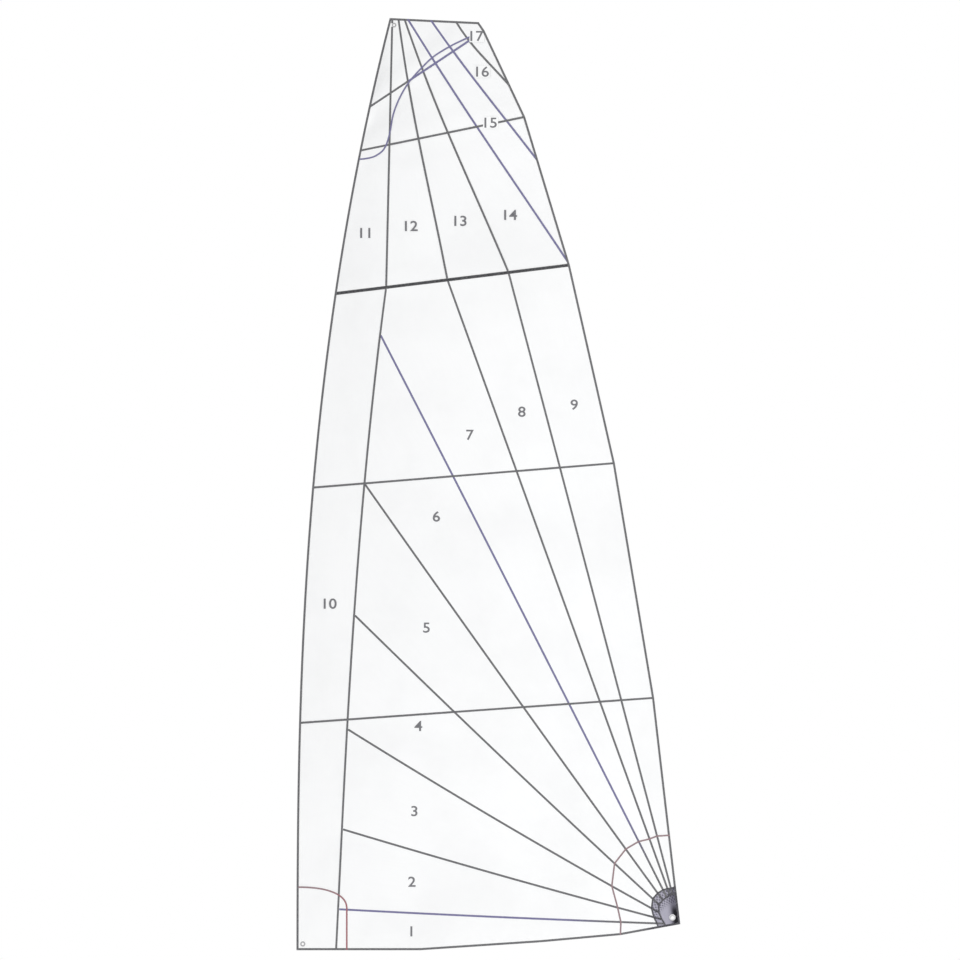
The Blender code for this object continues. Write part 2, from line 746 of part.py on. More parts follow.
def disc(centre, radius, sides=DISC_SIDES):
    """Circle as a polygon."""
    angles = [2 * math.pi * i / sides for i in range(sides)]
    return [(centre[0] + radius * math.cos(a), centre[1] + radius * math.sin(a)) for a in angles]


def head_disc(extra=0.0):
    """Disc round the head's luff corner."""
    return disc(HEAD_LUFF_CORNER, HEAD_TIP_REACH + extra)


def tack_disc(extra=0.0):
    """Disc round the tack corner."""
    return disc(TACK, TACK_TIP_REACH + extra)


def ring_centre(name):
    """Side-view centre of a ring, set off from its corner."""
    corners = {"tack": TACK, "clew": CLEW, "head": HEAD_LUFF_CORNER}
    corner, inset = corners[name], RINGS[name][0]
    return (corner[0] + inset[0], corner[1] + inset[1])


def ring_hole(name):
    """Hole through the cloth for a ring's sleeve."""
    bore = RINGS[name][1]
    return disc(ring_centre(name), bore + RING_SLEEVE + RING_HOLE_CLEAR, HOLE_SIDES)


def tack_patch_shape():
    """Tack patch: an upright side past the luff panel, then a rounded top out to the luff."""
    reach = LUFF_PANEL_WIDTH + TACK_PATCH_LAP
    rise = TACK_PATCH_HEIGHT - TACK_PATCH_SIDE
    rounded = []
    for i in range(TACK_PATCH_STEPS + 1):
        turn = math.pi / 2 * i / TACK_PATCH_STEPS
        aft = reach * math.cos(turn) ** (2 / TACK_PATCH_POWER)
        up = rise * math.sin(turn) ** (2 / TACK_PATCH_POWER)
        rounded.append((aft, TACK_PATCH_SIDE + up))
    return [(-BEYOND, -BEYOND), (reach, -BEYOND), *rounded, (-BEYOND, TACK_PATCH_HEIGHT)]


def head_patch_shape():
    """Head patch: rounded lower edge, bowed over the gaff batten to its leech end, then past the head."""
    row = BATTEN_ROWS["gaff"]
    rounded = [(HEAD_LUFF_CORNER[0] + aft, HEAD_LUFF_CORNER[1] + up) for aft, up in HEAD_PATCH]
    bow = [row.point(share) + row.across * rise for share, rise in HEAD_PATCH_RISE]
    bow += [row.point(1.0), lengthened(row.start, row.point(1.0))]
    top = LUFF_HEIGHT + BEYOND
    around = [(bow[-1][0], top), (0.0, top), (0.0, rounded[0][1])]
    return [*rounded, *bow, *around]


def build_cloth():
    """Panels, corner cores and corner patches."""
    whole = OUTLINE.inset(EDGE_INSET, LUFF_INSET)
    inner = OUTLINE.inset(PATCH_INSET)
    clew_cut = clew_fan(CLEW_TIP_REACH)
    head_cut = head_disc()
    tack_cut = tack_disc()
    for name, shape in panel_shapes().items():
        cuts = []
        if name in CLEW_GORES:
            cuts.append(clew_cut)
        if name == "panel_10":
            cuts.append(tack_cut)
        if name in HEAD_GORES:
            cuts.append(head_cut)
        cloth(name, PANEL_LEVELS[name], [shape, whole], cuts, WHITE_CLOTH)
    core_lap = SEAM_LAP + BUTT_GAP
    cloth("clew_core", LAYER_C, [clew_fan(CLEW_TIP_REACH, core_lap), whole], [ring_hole("clew")], WHITE_CLOTH)
    cloth("head_core", LAYER_A, [head_disc(core_lap), whole], [ring_hole("head")], WHITE_CLOTH)
    cloth("tack_core", LAYER_B, [tack_disc(core_lap), whole], [ring_hole("tack")], WHITE_CLOTH)
    patches = {
        "clew_patch": (clew_fan(CLEW_PATCH_REACH), "clew", STARBOARD_PATCH, PORT_PATCH),
        "clew_fan": (clew_fan(CLEW_FAN_REACH), "clew", STARBOARD_FAN, PORT_FAN),
        "tack_patch": (tack_patch_shape(), "tack", STARBOARD_PATCH, PORT_PATCH),
        "head_patch": (head_patch_shape(), "head", STARBOARD_PATCH, PORT_PATCH),
    }
    for name, (shape, ring, starboard, port) in patches.items():
        holes = [ring_hole(ring)]
        cloth(f"{name}_starboard", starboard, [shape, inner], holes, PATCH_CLOTH)
        cloth(f"{name}_port", port, [shape, inner], holes, PATCH_CLOTH)


# Edge tapes: each is one strip folded round the sail's edge
def tape_levels(name):
    """Offsets of the tape's four faces against distance in from the edge; the luff's opens round its rope."""
    port_out, port_in = PORT_PATCH, PORT_PATCH + CLOTH
    board_in, board_out = STARBOARD_PATCH, STARBOARD_PATCH + CLOTH
    if name != "luff":
        return [0.0, TAPE_WIDTH], [port_out] * 2, [port_in] * 2, [board_in] * 2, [board_out] * 2
    middle = (port_in + board_in) / 2
    wide = BOLT_ROPE / 2 + ROPE_GAP
    shoulder = BOLT_ROPE / 4
    stations = [0.0, CLOTH, CLOTH + shoulder, CLOTH + BOLT_ROPE, LUFF_INSET + ROPE_GAP, TAPE_WIDTH]
    opening = [wide / 2, wide / 2, wide, wide, board_in - middle, board_in - middle]
    inner_port = [middle - o for o in opening]
    inner_board = [middle + o for o in opening]
    outer_port = [p - CLOTH for p in inner_port]
    outer_board = [b + CLOTH for b in inner_board]
    return (stations, outer_port, inner_port, inner_board, outer_board)


def distance_to(line, point):
    """Distance from a point to a polyline."""
    best = math.inf
    for a, b in zip(line, line[1:]):
        run = b - a
        share = min(max(float((point - a) @ run / (run @ run)), 0.0), 1.0)
        best = min(best, float(np.linalg.norm(point - a - run * share)))
    return best


def build_tape(name):
    """Folded edge tape of one side."""
    stations, *faces_at = tape_levels(name)
    edge = [np.array(p) for p in OUTLINE.side(name, 0.0, 0.0)]
    outer = OUTLINE.side(name, 0.0, BUTT_GAP)
    inner = OUTLINE.side(name, TAPE_WIDTH, BUTT_GAP)
    strip = outer + inner[::-1]
    creases = [OUTLINE.side(name, d, BUTT_GAP) for d in sorted({CLOTH, *stations[1:-1]})]
    flat, faces = cut_triangles([strip], [], creases)
    levels = [
        lambda point, values=values: float(np.interp(distance_to(edge, point), stations, values))
        for values in faces_at
    ]

    def solid(centre):
        return (True, distance_to(edge, centre) < CLOTH, True)

    mesh = layered_mesh(f"{name}_tape", flat, faces, levels, solid)
    return finish(f"{name}_tape", mesh, TAPE_CLOTH)


def build_rope():
    """Bolt rope inside the luff tape: eight-sided, and leaning with the sheet as the tape round it does."""
    middle = (PORT_PATCH + CLOTH + STARBOARD_PATCH) / 2
    front = CLOTH + ROPE_GAP
    radius = BOLT_ROPE / 2
    facet = radius * math.tan(math.pi / 8)
    stations = [front, front + radius - facet, front + radius + facet, front + BOLT_ROPE]
    heights = [facet, radius, radius, facet]
    edge = [np.array(p) for p in OUTLINE.side("luff", 0.0, 0.0)]
    lines = [OUTLINE.side("luff", station, ROPE_END) for station in stations]
    flat, faces = cut_triangles([lines[0] + lines[-1][::-1]], [], lines[1:-1])

    def half(point):
        return float(np.interp(distance_to(edge, point), stations, heights))

    levels = [lambda point: middle - half(point), lambda point: middle + half(point)]
    mesh = layered_mesh("bolt_rope", flat, faces, levels, lambda centre: (True,))
    return finish("bolt_rope", mesh, ROPE_CORE, smooth=True)


# Battens
POCKET_LEVELS = {
    "lower": LAYER_D, "middle": LAYER_D, "upper": STARBOARD_PATCH, "top": STARBOARD_FAN, "gaff": STARBOARD_FAN
}


def steepest(row):
    """How much a thickness square to the arc grows when it is measured to starboard."""
    ends = (row.angle(0.0), row.angle(row.length))
    return 1.0 / math.cos(max(abs(a) for a in ends))


def facet_rise(row):
    """How far the arc stands over the middle of a facet."""
    span = (row.length * (1.0 + LEECH_MARGIN) - LUFF_COLUMN) / EVEN_COLUMNS
    return span ** 2 / (8 * row.radius) * steepest(row) ** 3


def batten_middle(row):
    """Offset of the batten's middle surface from the row's arc."""
    return STARBOARD_PATCH + CLOTH + TUNNEL_GAP + CAP_DEPTH / 2 * steepest(row)


def roof_level(row):
    """Offset of the underside of the pocket's roof from the sheet."""
    return batten_middle(row) + CAP_DEPTH / 2 * steepest(row) + facet_rise(row) + TUNNEL_GAP


def clear_of_tape(row, tangent):
    """How far along a row the edge of its pocket comes clear of the tape on an edge with this direction."""
    tangent = np.array(tangent) / np.linalg.norm(tangent)
    return (TAPE_WIDTH + POCKET_TAPE_GAP + POCKET_EDGE * abs(tangent @ row.along)) / abs(tangent @ row.across)


def pocket_start(row):
    """Where a pocket starts along its row: just aft of the luff tape."""
    height = row.start[1]
    above, below = luff_point(height + POCKET_EDGE), luff_point(height - POCKET_EDGE)
    return clear_of_tape(row, np.subtract(above, below))


def pocket_end(row):
    """Where a pocket ends along its row: just forward of the leech tape."""
    corners = [np.array(point) for point in outline_sides()["leech"]]
    here = min(range(len(corners)), key=lambda k: float(np.linalg.norm(corners[k] - row.point(1.0))))
    tangents = [corners[here] - corners[here - 1], corners[here + 1] - corners[here]]
    return row.length - max(clear_of_tape(row, tangent) for tangent in tangents)


def build_pocket(name):
    """Batten pocket: a strip sewn down at both sides, raised over the batten, its leech end open."""
    row = BATTEN_ROWS[name]
    base = POCKET_LEVELS[name]
    rise = roof_level(row) - base
    half = POCKET_EDGE
    start = pocket_start(row)
    foot = start + POCKET_FLANGE
    top = foot + POCKET_RAMP
    end = pocket_end(row)

    def place(s, t):
        return row.start + row.along * s + row.across * t

    shape = [place(start, -half), place(end, -half), place(end, half), place(start, half)]
    creases = []
    for t in (-POCKET_HALF - POCKET_SLOPE, -POCKET_HALF, POCKET_HALF, POCKET_HALF + POCKET_SLOPE):
        creases.append([place(start, t), place(end, t)])
    for s in (foot, top):
        creases.append([place(s, -half), place(s, half)])

    def under(point):
        away = np.array(point) - row.start
        s, t = float(away @ row.along), abs(float(away @ row.across))
        ramp = min(max((s - foot) / POCKET_RAMP, 0.0), 1.0)
        flank = min(max((POCKET_HALF + POCKET_SLOPE - t) / POCKET_SLOPE, 0.0), 1.0)
        return base + rise * ramp * flank

    flat, faces = cut_triangles([shape], [], creases)
    levels = [under, lambda point: under(point) + CLOTH]
    mesh = layered_mesh(f"pocket_{name}", flat, faces, levels, lambda centre: (True,))
    return finish(f"pocket_{name}", mesh, POCKET_CLOTH)


def batten_axis(name):
    """Empty on a batten's hinge axis, its local Z along the axis and its local Y to starboard."""
    row = BATTEN_ROWS[name]
    spot = row.start + row.along * row.centre_s
    along = Vector((row.along[0], 0.0, row.along[1]))
    starboard = Vector((0.0, 1.0, 0.0))
    turn = Matrix((along, starboard, along.cross(starboard))).transposed()
    axis = bpy.data.objects.new(f"{name}_batten_axis", None)
    place = (spot[0], row.centre_y + batten_middle(row), spot[1])
    axis.matrix_world = Matrix.Translation(place) @ turn.to_4x4()
    bpy.context.collection.objects.link(axis)
    return axis


def bent_body(name, row, sections):
    """Body through rectangular sections (angle, width, depth) set round the batten's arc."""
    shape = bmesh.new()
    rings = []
    for angle, width, depth in sections:
        sin, cos = math.sin(angle), math.cos(angle)
        inner, outer = row.radius - depth / 2, row.radius + depth / 2
        corners = [(inner, -width / 2), (outer, -width / 2), (outer, width / 2), (inner, width / 2)]
        rings.append([shape.verts.new((r * sin, r * cos, w)) for r, w in corners])
    for ring, following in zip(rings, rings[1:]):
        for k in range(4):
            n = (k + 1) % 4
            shape.faces.new((ring[k], ring[n], following[n], following[k]))
    shape.faces.new(rings[0])
    shape.faces.new(rings[-1])
    bmesh.ops.recalc_face_normals(shape, faces=shape.faces)
    mesh = bpy.data.meshes.new(name)
    shape.to_mesh(mesh)
    shape.free()
    return mesh


def cap_mesh(name, row, mouth, back):
    """End cap: a box round the batten's end, hollow from its mouth, its closed end drawn in a little."""
    wall = math.copysign(CAP_END_WALL / row.radius, back - mouth)
    hollow = (BATTEN_WIDTH + 2 * CAP_FIT, BATTEN_THICKNESS + 2 * CAP_FIT)
    return bent_body(name, row, [
        (back - wall, *hollow),
        (mouth, *hollow),
        (mouth, CAP_WIDTH, CAP_DEPTH),
        (back - wall / 2, CAP_WIDTH, CAP_DEPTH),
        (back, CAP_WIDTH * CAP_NOSE, CAP_DEPTH * CAP_NOSE),
    ])


def build_batten(name):
    """Batten with its two end caps, all on the batten's axis."""
    row = BATTEN_ROWS[name]
    axis = batten_axis(name)
    luff_stop = max(pocket_start(row) + POCKET_FLANGE + POCKET_RAMP, LUFF_COLUMN) + POCKET_END_GAP
    luff_back, leech_back = row.angle(luff_stop), row.angle(row.length - LEECH_END_INSET)
    cap = CAP_LENGTH / row.radius
    wall = (CAP_END_WALL + CAP_FIT) / row.radius
    luff_mouth, leech_mouth = luff_back + cap, leech_back - cap
    angles = [luff_back + wall, *np.linspace(luff_mouth, leech_mouth, BATTEN_STEPS - 1), leech_back - wall]
    bar = bent_body(f"batten_{name}", row, [(angle, BATTEN_WIDTH, BATTEN_THICKNESS) for angle in angles])
    finish(f"batten_{name}", bar, GLASS_BATTEN, parent=axis)
    for end, mouth, back in (("luff", luff_mouth, luff_back), ("leech", leech_mouth, leech_back)):
        finish(f"{end}_cap_{name}", cap_mesh(f"{end}_cap_{name}", row, mouth, back), CAP_PLASTIC, parent=axis)


# Rings
RING_STACKS = {
    "tack": (PORT_PATCH, STARBOARD_PATCH + CLOTH),
    "clew": (PORT_FAN, STARBOARD_FAN + CLOTH),
    "head": (PORT_PATCH, STARBOARD_PATCH + CLOTH),
}


def turned_piece(name, profile, place):
    """Body turned about local Z from a closed (radius, height) profile."""
    shape = bmesh.new()
    rings = []
    for k in range(RING_SEGMENTS):
        angle = 2 * math.pi * k / RING_SEGMENTS
        rings.append([shape.verts.new((r * math.cos(angle), r * math.sin(angle), h)) for r, h in profile])
    for k in range(RING_SEGMENTS):
        here, following = rings[k], rings[(k + 1) % RING_SEGMENTS]
        for i in range(len(profile)):
            n = (i + 1) % len(profile)
            shape.faces.new((here[i], following[i], following[n], here[n]))
    bmesh.ops.recalc_face_normals(shape, faces=shape.faces)
    mesh = bpy.data.meshes.new(name)
    shape.to_mesh(mesh)
    shape.free()
    piece = finish(name, mesh, RING_STEEL, smooth=True)
    piece.matrix_world = place
    return piece


def build_ring(name):
    """Ring in two halves: a flanged sleeve from port with a rolled rim, and a washer on starboard."""
    centre = ring_centre(name)
    _, bore, flange = RINGS[name]
    normal = SHEET.normal(centre)
    low, high = (level * normal.y for level in RING_STACKS[name])
    low -= LAYER_GAP
    high += LAYER_GAP
    sleeve = bore + RING_SLEEVE
    rim = high + RING_FLANGE + LAYER_GAP
    turn = normal.to_track_quat("Z", "Y").to_matrix().to_4x4()
    place = Matrix.Translation((centre[0], SHEET.at(centre), centre[1])) @ turn
    eyelet = [
        (bore, low - RING_FLANGE),
        (flange - RING_CHAMFER, low - RING_FLANGE),
        (flange, low - RING_FLANGE + RING_CHAMFER),
        (flange, low),
        (sleeve, low),
        (sleeve, rim),
        (sleeve + RING_LIP, rim),
        (sleeve + RING_LIP, rim + RING_LIP / 2),
        (bore, rim + RING_LIP),
    ]
    turned_piece(f"{name}_ring_eyelet", eyelet, place)
    washer = [
        (sleeve + LAYER_GAP, high),
        (flange, high),
        (flange, high + RING_FLANGE - RING_CHAMFER),
        (flange - RING_CHAMFER, high + RING_FLANGE),
        (sleeve + LAYER_GAP, high + RING_FLANGE),
    ]
    turned_piece(f"{name}_ring_washer", washer, place)


def main():
    """Build the whole sail."""
    clear_all()
    build_cloth()
    for side in ("luff", "leech", "foot", "head"):
        build_tape(side)
    build_rope()
    for name in BATTENS:
        build_pocket(name)
        build_batten(name)
    for name in RINGS:
        build_ring(name)


main()
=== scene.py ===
"""Looks of the square-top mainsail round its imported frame: cloth, seam tapes, patches, pockets, rope, rings
and panel numbers. Lengths are metres. Points on the sail are given in the side view as (x aft, z up), and
every layer lies at its own level, a distance to starboard of the sail's sheet."""

import functools
import math

import bmesh
import bpy
import numpy as np
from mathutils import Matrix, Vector


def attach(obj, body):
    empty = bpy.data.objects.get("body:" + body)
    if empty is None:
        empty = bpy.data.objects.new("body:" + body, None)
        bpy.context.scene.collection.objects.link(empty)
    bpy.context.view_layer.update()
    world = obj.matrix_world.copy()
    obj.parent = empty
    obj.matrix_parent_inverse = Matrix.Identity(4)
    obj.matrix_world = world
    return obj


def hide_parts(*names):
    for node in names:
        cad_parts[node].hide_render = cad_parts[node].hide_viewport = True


bl_info = {
    "name": "Square-top mainsail",
    "version": (1, 0, 0),
    "blender": (4, 5, 0),
    "location": "View3D > Sidebar > Mainsail",
    "description": "Sews the cloth, tapes, pockets, rings and numbers of a square-top mainsail onto its frame",
    "category": "Object",
}

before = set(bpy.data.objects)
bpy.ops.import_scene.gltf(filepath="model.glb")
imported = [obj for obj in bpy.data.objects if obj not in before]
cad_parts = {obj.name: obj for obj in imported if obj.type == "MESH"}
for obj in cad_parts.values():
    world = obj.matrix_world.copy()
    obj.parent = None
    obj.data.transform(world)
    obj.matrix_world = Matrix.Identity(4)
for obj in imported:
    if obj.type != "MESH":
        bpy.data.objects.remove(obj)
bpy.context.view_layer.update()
BODY = "sail"

# Outline and battens of the frame, as its source gives them
LUFF_HEIGHT, LUFF_RAKE, LUFF_POWER = 6.80, 0.680, 2.55
HEAD_LENGTH, HEAD_DROP = 0.650, 0.030
TACK, CLEW = np.array((0.0, 0.0)), np.array((2.800, 0.190))
FOOT_CURVE = np.array((
    (0.0, 0.0), (0.3229, 0.0613), (0.6361, 0.0629), (0.8443, 0.0504), (0.9489, 0.0163), (1.0, 0.0),
))
BATTEN_NAMES = ("lower", "middle", "upper", "top", "gaff")
# Columns: share of the luff, share of the leech, roach, camber, twist in degrees
BATTENS = np.array((
    (0.2438, 0.2509, 0.178, 0.083, 2.5),
    (0.4962, 0.5111, 0.274, 0.088, 5.5),
    (0.7043, 0.7307, 0.269, 0.085, 8.0),
    (0.8576, 0.8950, 0.184, 0.078, 9.0),
    (0.9038, 0.9907, 0.028, 0.072, 7.5),
))
FOOT_SHAPE, HEAD_SHAPE = (0.055, 0.0), (0.050, 10.5)
BELOW_FOOT, ABOVE_HEAD = 0.030, 0.030
LUFF_COLUMN, FOOT_COLUMN = 0.105, 0.300
FLAT_HALF, FLAT_FADE = 0.0115, 0.200
HEAD_LUFF = np.array((LUFF_RAKE, LUFF_HEIGHT))
HEAD_LEECH = np.array((LUFF_RAKE + HEAD_LENGTH, LUFF_HEIGHT - HEAD_DROP))

# Seams
PANEL_WIDTH, PANEL_SWELL, PANEL_WIDEST = 0.289, 0.091, 0.53
LUFF_SEAM_SHARES = (0.0440, 0.1300, 0.2374, 0.3600, 0.5006, 0.6607)
SEAM_BOWS = (0.006, 0.012, 0.020, 0.014, 0.008, -0.006, 0.0, 0.0)
CROSS_SEAM_SHARES = (0.4796, 0.7391)
HEAD_SEAMS = (0.0195, 0.0633, 0.1070, 0.1306, 0.2987, 0.4807)
HEAD_BOWS = (0.0, 0.019, 0.025, 0.014, 0.012, 0.022)
LEECH_SEAM_SHARES = (0.8445, 0.9268)
SEAM_LAP, SEAM_START, SEAM_POINTS = 0.0065, 0.012, 41
# How far apart the points of a cloth lie: close enough for its facets to stay under the tapes
CLOTH_CELL, HEAD_CELL, TAPE_CELL, COLLAR_CELL = 0.014, 0.012, 0.012, 0.015

# Corner patches
PATCH_REACH = np.array((0.444, 0.434, 0.473, 0.572, 0.653, 0.677, 0.675, 0.661, 0.665, 0.653))
FAN_REACH = np.array((0.162, 0.170, 0.200, 0.240, 0.273, 0.280, 0.280, 0.275, 0.270, 0.275))
TIP_REACH = np.array((0.110, 0.115, 0.140, 0.180, 0.212, 0.217, 0.220, 0.225, 0.225, 0.225))
FAN_SPREAD, FAN_PAST = math.radians(12.0), 0.075
HEAD_TIP, TACK_TIP, CORE_LAP = 0.170, 0.150, 0.0184
TACK_PATCH_REACH, TACK_PATCH_SIDE, TACK_PATCH_HEIGHT, TACK_PATCH_POWER = 0.367, 0.300, 0.460, 2.4
HEAD_PATCH = np.array((
    (-0.255, -1.032), (-0.171, -1.025), (-0.100, -1.004), (-0.037, -0.949), (0.000, -0.843), (0.026, -0.704),
    (0.075, -0.578),
))
BINDING_END = 1.285
HEAD_PATCH_RISE = np.array(((0.3480, -0.007), (0.4884, 0.030), (0.5995, 0.048), (0.7442, 0.042), (0.8692, 0.024)))
PATCH_MARGIN, OVERREACH, PATCH_GAP = 0.012, 0.3, 0.0004

# Levels of the layers, folded tapes and pockets
CLOTH, LAYER = 0.0004, 0.0007
TAPE, TAPE_GAP, LEAST_WIDTH = 0.00015, 0.00005, 0.01
PANEL_LEVELS = (0, 1, 0, 1, 0, 1, 0, 1, 0, 2, 1, 3, 2, 3, 2, 3, 2)
PORT_PATCH, PORT_FAN = -LAYER, -2 * LAYER
STARBOARD_PATCH, STARBOARD_FAN = 4 * LAYER, 5 * LAYER
FOLD_MIDDLE = (PORT_PATCH + STARBOARD_PATCH + CLOTH) / 2
FOLD_OUTER, FOLD_INNER, FOLD_NECK, MITRE_GAP = 0.0014, 0.0010, 0.002, 0.0003
PANEL_INSET, LUFF_INSET, TAPE_INSET, TAPE_LUFF_INSET = 0.0012, 0.0094, 0.0015, 0.0118
ROPE_RADIUS, ROPE_FRONT, ROPE_ROOM, ROPE_END = 0.004, 0.0009, 0.0005, 0.012
ROPE_PITCH, ROPE_GROOVE, ROPE_STATIONS, ROPE_SIDES = 0.032, 0.20, 1500, 24
ROPE_CENTRE = ROPE_FRONT + ROPE_RADIUS
CAP_DEPTH, TUNNEL_GAP = 0.0046, 0.0003
POCKET_HALF, POCKET_SLOPE, POCKET_FLANGE, POCKET_RAMP, POCKET_CLEAR = 0.0103, 0.003, 0.007, 0.060, 0.023
POCKET_EDGE = POCKET_HALF + POCKET_SLOPE + POCKET_FLANGE
POCKET_LEVELS = (3, 3, 4, 5, 5)

# Rings: radius of the bore and of the flange, level of the port and of the starboard side
RINGS = {
    "tack": (0.009, 0.019, PORT_PATCH, STARBOARD_PATCH),
    "clew": (0.012, 0.024, PORT_FAN, STARBOARD_FAN),
    "head": (0.008, 0.017, PORT_PATCH, STARBOARD_PATCH),
}
RING_SLEEVE, RING_FLANGE, RING_LIP = 0.0012, 0.0016, 0.0012
RING_CHAMFER, RING_GAP, HOLE_CLEAR, RING_STEPS = 0.0008, 0.0003, 0.0020, 72
SEAT_FLANGES, SEAT_FADE = 1.2, 0.130


# Vectors
def unit(run):
    """Vectors scaled to a length of one."""
    return run / np.linalg.norm(run, axis=-1, keepdims=True)


def left_of(run):
    """Side-view vectors turned a quarter to the left."""
    return np.stack((-run[..., 1], run[..., 0]), axis=-1)


def cross(first, second):
    """Side-view cross product, positive where the second vector points to the left of the first."""
    return first[..., 0] * second[..., 1] - first[..., 1] * second[..., 0]


def compass(turn):
    """Unit vectors at angles."""
    return np.stack((np.cos(turn), np.sin(turn)), axis=-1)


def raised(flat, depth):
    """Points in space at side-view points and their depths to starboard."""
    return np.stack((flat[..., 0], depth, flat[..., 1]), axis=-1)


def spots_of(mesh):
    """Vertices of a mesh as rows."""
    spots = np.empty(len(mesh.vertices) * 3)
    mesh.vertices.foreach_get("co", spots)
    return spots.reshape(-1, 3)


# Shape of the sail
def luff_aft(height):
    """How far aft the luff lies at a height: the rake times a power of the height's share of the luff."""
    return LUFF_RAKE * np.clip(np.asarray(height, float) / LUFF_HEIGHT, 0.0, None) ** LUFF_POWER


def luff_points(height):
    """Side-view points of the luff at heights."""
    height = np.asarray(height, float)
    return np.stack((luff_aft(height), height), axis=-1)


def leech_straight(share):
    """Points on the straight from the clew to the head's aft corner."""
    return CLEW + (HEAD_LEECH - CLEW) * np.asarray(share, float)[..., None]


BATTEN_LUFF = luff_points(LUFF_HEIGHT * BATTENS[:, 0])
BATTEN_LEECH = leech_straight(BATTENS[:, 1]) + np.stack((BATTENS[:, 2], np.zeros(5)), axis=-1)
BATTEN_RUN = BATTEN_LEECH - BATTEN_LUFF
LEECH_CORNERS = np.vstack((CLEW, BATTEN_LEECH, HEAD_LEECH))
LEECH_LEAN = unit(LEECH_CORNERS[1] - CLEW)
UPPER, GAFF = 2, 4


def form_rows():
    """Ends, camber and twist of the seven rows that carry the sail's form: foot, five battens, head."""
    lean = (BATTEN_LEECH[0, 0] - CLEW[0]) / (BATTEN_LEECH[0, 1] - CLEW[1])
    foot = np.array(((0.0, -BELOW_FOOT), (CLEW[0] - lean * (CLEW[1] + BELOW_FOOT), -BELOW_FOOT)))
    head = np.array((luff_points(LUFF_HEIGHT + ABOVE_HEAD), HEAD_LEECH + (0.0, ABOVE_HEAD)))
    starts = np.vstack((foot[:1], BATTEN_LUFF, head[:1]))
    ends = np.vstack((foot[1:], BATTEN_LEECH, head[1:]))
    shapes = np.vstack((FOOT_SHAPE, BATTENS[:, 3:], HEAD_SHAPE))
    return starts, ends, shapes


ROW_STARTS, ROW_ENDS, ROW_SHAPES = form_rows()


def arc_offset(distance, length, camber, twist):
    """Offset to starboard of a circular arc whose chord swings out by the twist and whose depth is the camber
    times the chord: the arc's centre plus the root of the squared radius less the squared distance from it."""
    swing = length * np.tan(np.radians(twist))
    chord = np.hypot(length, swing)
    depth = camber * chord
    radius = (chord ** 2 / 4 + depth ** 2) / (2 * depth)
    drop = depth - radius
    centre_s = length / 2 - swing / chord * drop
    centre_y = swing / 2 + length / chord * drop
    return centre_y + np.sqrt(np.maximum(radius ** 2 - (distance - centre_s) ** 2, 0.0))


def smooth(value):
    """Smooth step from 0 to 1: three squares less two cubes of the clipped value."""
    value = np.clip(value, 0.0, 1.0)
    return value * value * (3.0 - 2.0 * value)


def fading(past, reach):
    """Weight that falls from 1 at an edge to 0 a reach past it: the cube of one less the squared share."""
    return (1.0 - np.clip(past / reach, 0.0, 1.0) ** 2) ** 3


def eased(table, band, share):
    """Value between rows on a cubic through the four rows round it (Catmull and Rom's weights)."""
    last = len(table) - 1
    a, b = table[np.maximum(band - 1, 0)], table[band]
    c, d = table[np.minimum(band + 1, last)], table[np.minimum(band + 2, last)]
    return b + share / 2 * (c - a + share * (2 * a - 5 * b + 4 * c - d + share * (3 * (b - c) + d - a)))


def row_offset(points, start, along, length, camber, twist, column):
    """Offset of points that lie on rows, or a shift across them: each row's arc, less its value at the luff
    times the square of a share that falls from one at the luff to none a column's width aft."""
    distance = ((points - start) * along).sum(axis=1)
    origin = points - along * distance[:, None]
    luff = np.zeros(len(points))
    for _ in range(6):
        spot = origin + along * luff[:, None]
        luff = luff - (spot[:, 0] - luff_aft(spot[:, 1])) / along[:, 0]
    fade = np.clip(1.0 - (distance - luff) / column, 0.0, 1.5)
    return arc_offset(distance, length, camber, twist) - arc_offset(luff, length, camber, twist) * fade ** 2


def flat_at_battens(points, offset):
    """Offsets drawn to each batten row's own arc, so that the batten and its caps lie flat on the cloth."""
    offset = offset.copy()
    for start, end, (camber, twist) in zip(ROW_STARTS[1:-1], ROW_ENDS[1:-1], ROW_SHAPES[1:-1]):
        length = np.linalg.norm(end - start)
        along = (end - start) / length
        side = np.abs((points - start) @ left_of(along))
        weight = fading(side - FLAT_HALF, FLAT_FADE)
        near = weight > 0
        flat = row_offset(points[near], start, np.tile(along, (near.sum(), 1)), length, camber, twist, LUFF_COLUMN)
        offset[near] += (flat - offset[near]) * weight[near]
    return offset


def free_sheet(points):
    """Offset of the sheet without the rings' flats: the share between two rows gives a row in between, whose
    own offset counts, drawn flat at the battens."""
    runs = ROW_ENDS - ROW_STARTS
    above = cross(unit(runs), points[:, None, :] - ROW_STARTS[None])
    band = np.clip((above >= 0).sum(axis=1) - 1, 0, len(runs) - 2)
    here = np.arange(len(points))
    low, high = above[here, band], above[here, band + 1]
    share = low / (low - high)
    start = ROW_STARTS[band] + (ROW_STARTS[band + 1] - ROW_STARTS[band]) * share[:, None]
    end = ROW_ENDS[band] + (ROW_ENDS[band + 1] - ROW_ENDS[band]) * share[:, None]
    length = np.linalg.norm(end - start, axis=1)
    along = (end - start) / length[:, None]
    camber = eased(ROW_SHAPES[:, 0], band, share)
    twist = eased(ROW_SHAPES[:, 1], band, share)
    column = LUFF_COLUMN + (FOOT_COLUMN - LUFF_COLUMN) * np.clip(1 - 2 * (band + share), 0, 1)
    return flat_at_battens(points, row_offset(points, start, along, length, camber, twist, column))


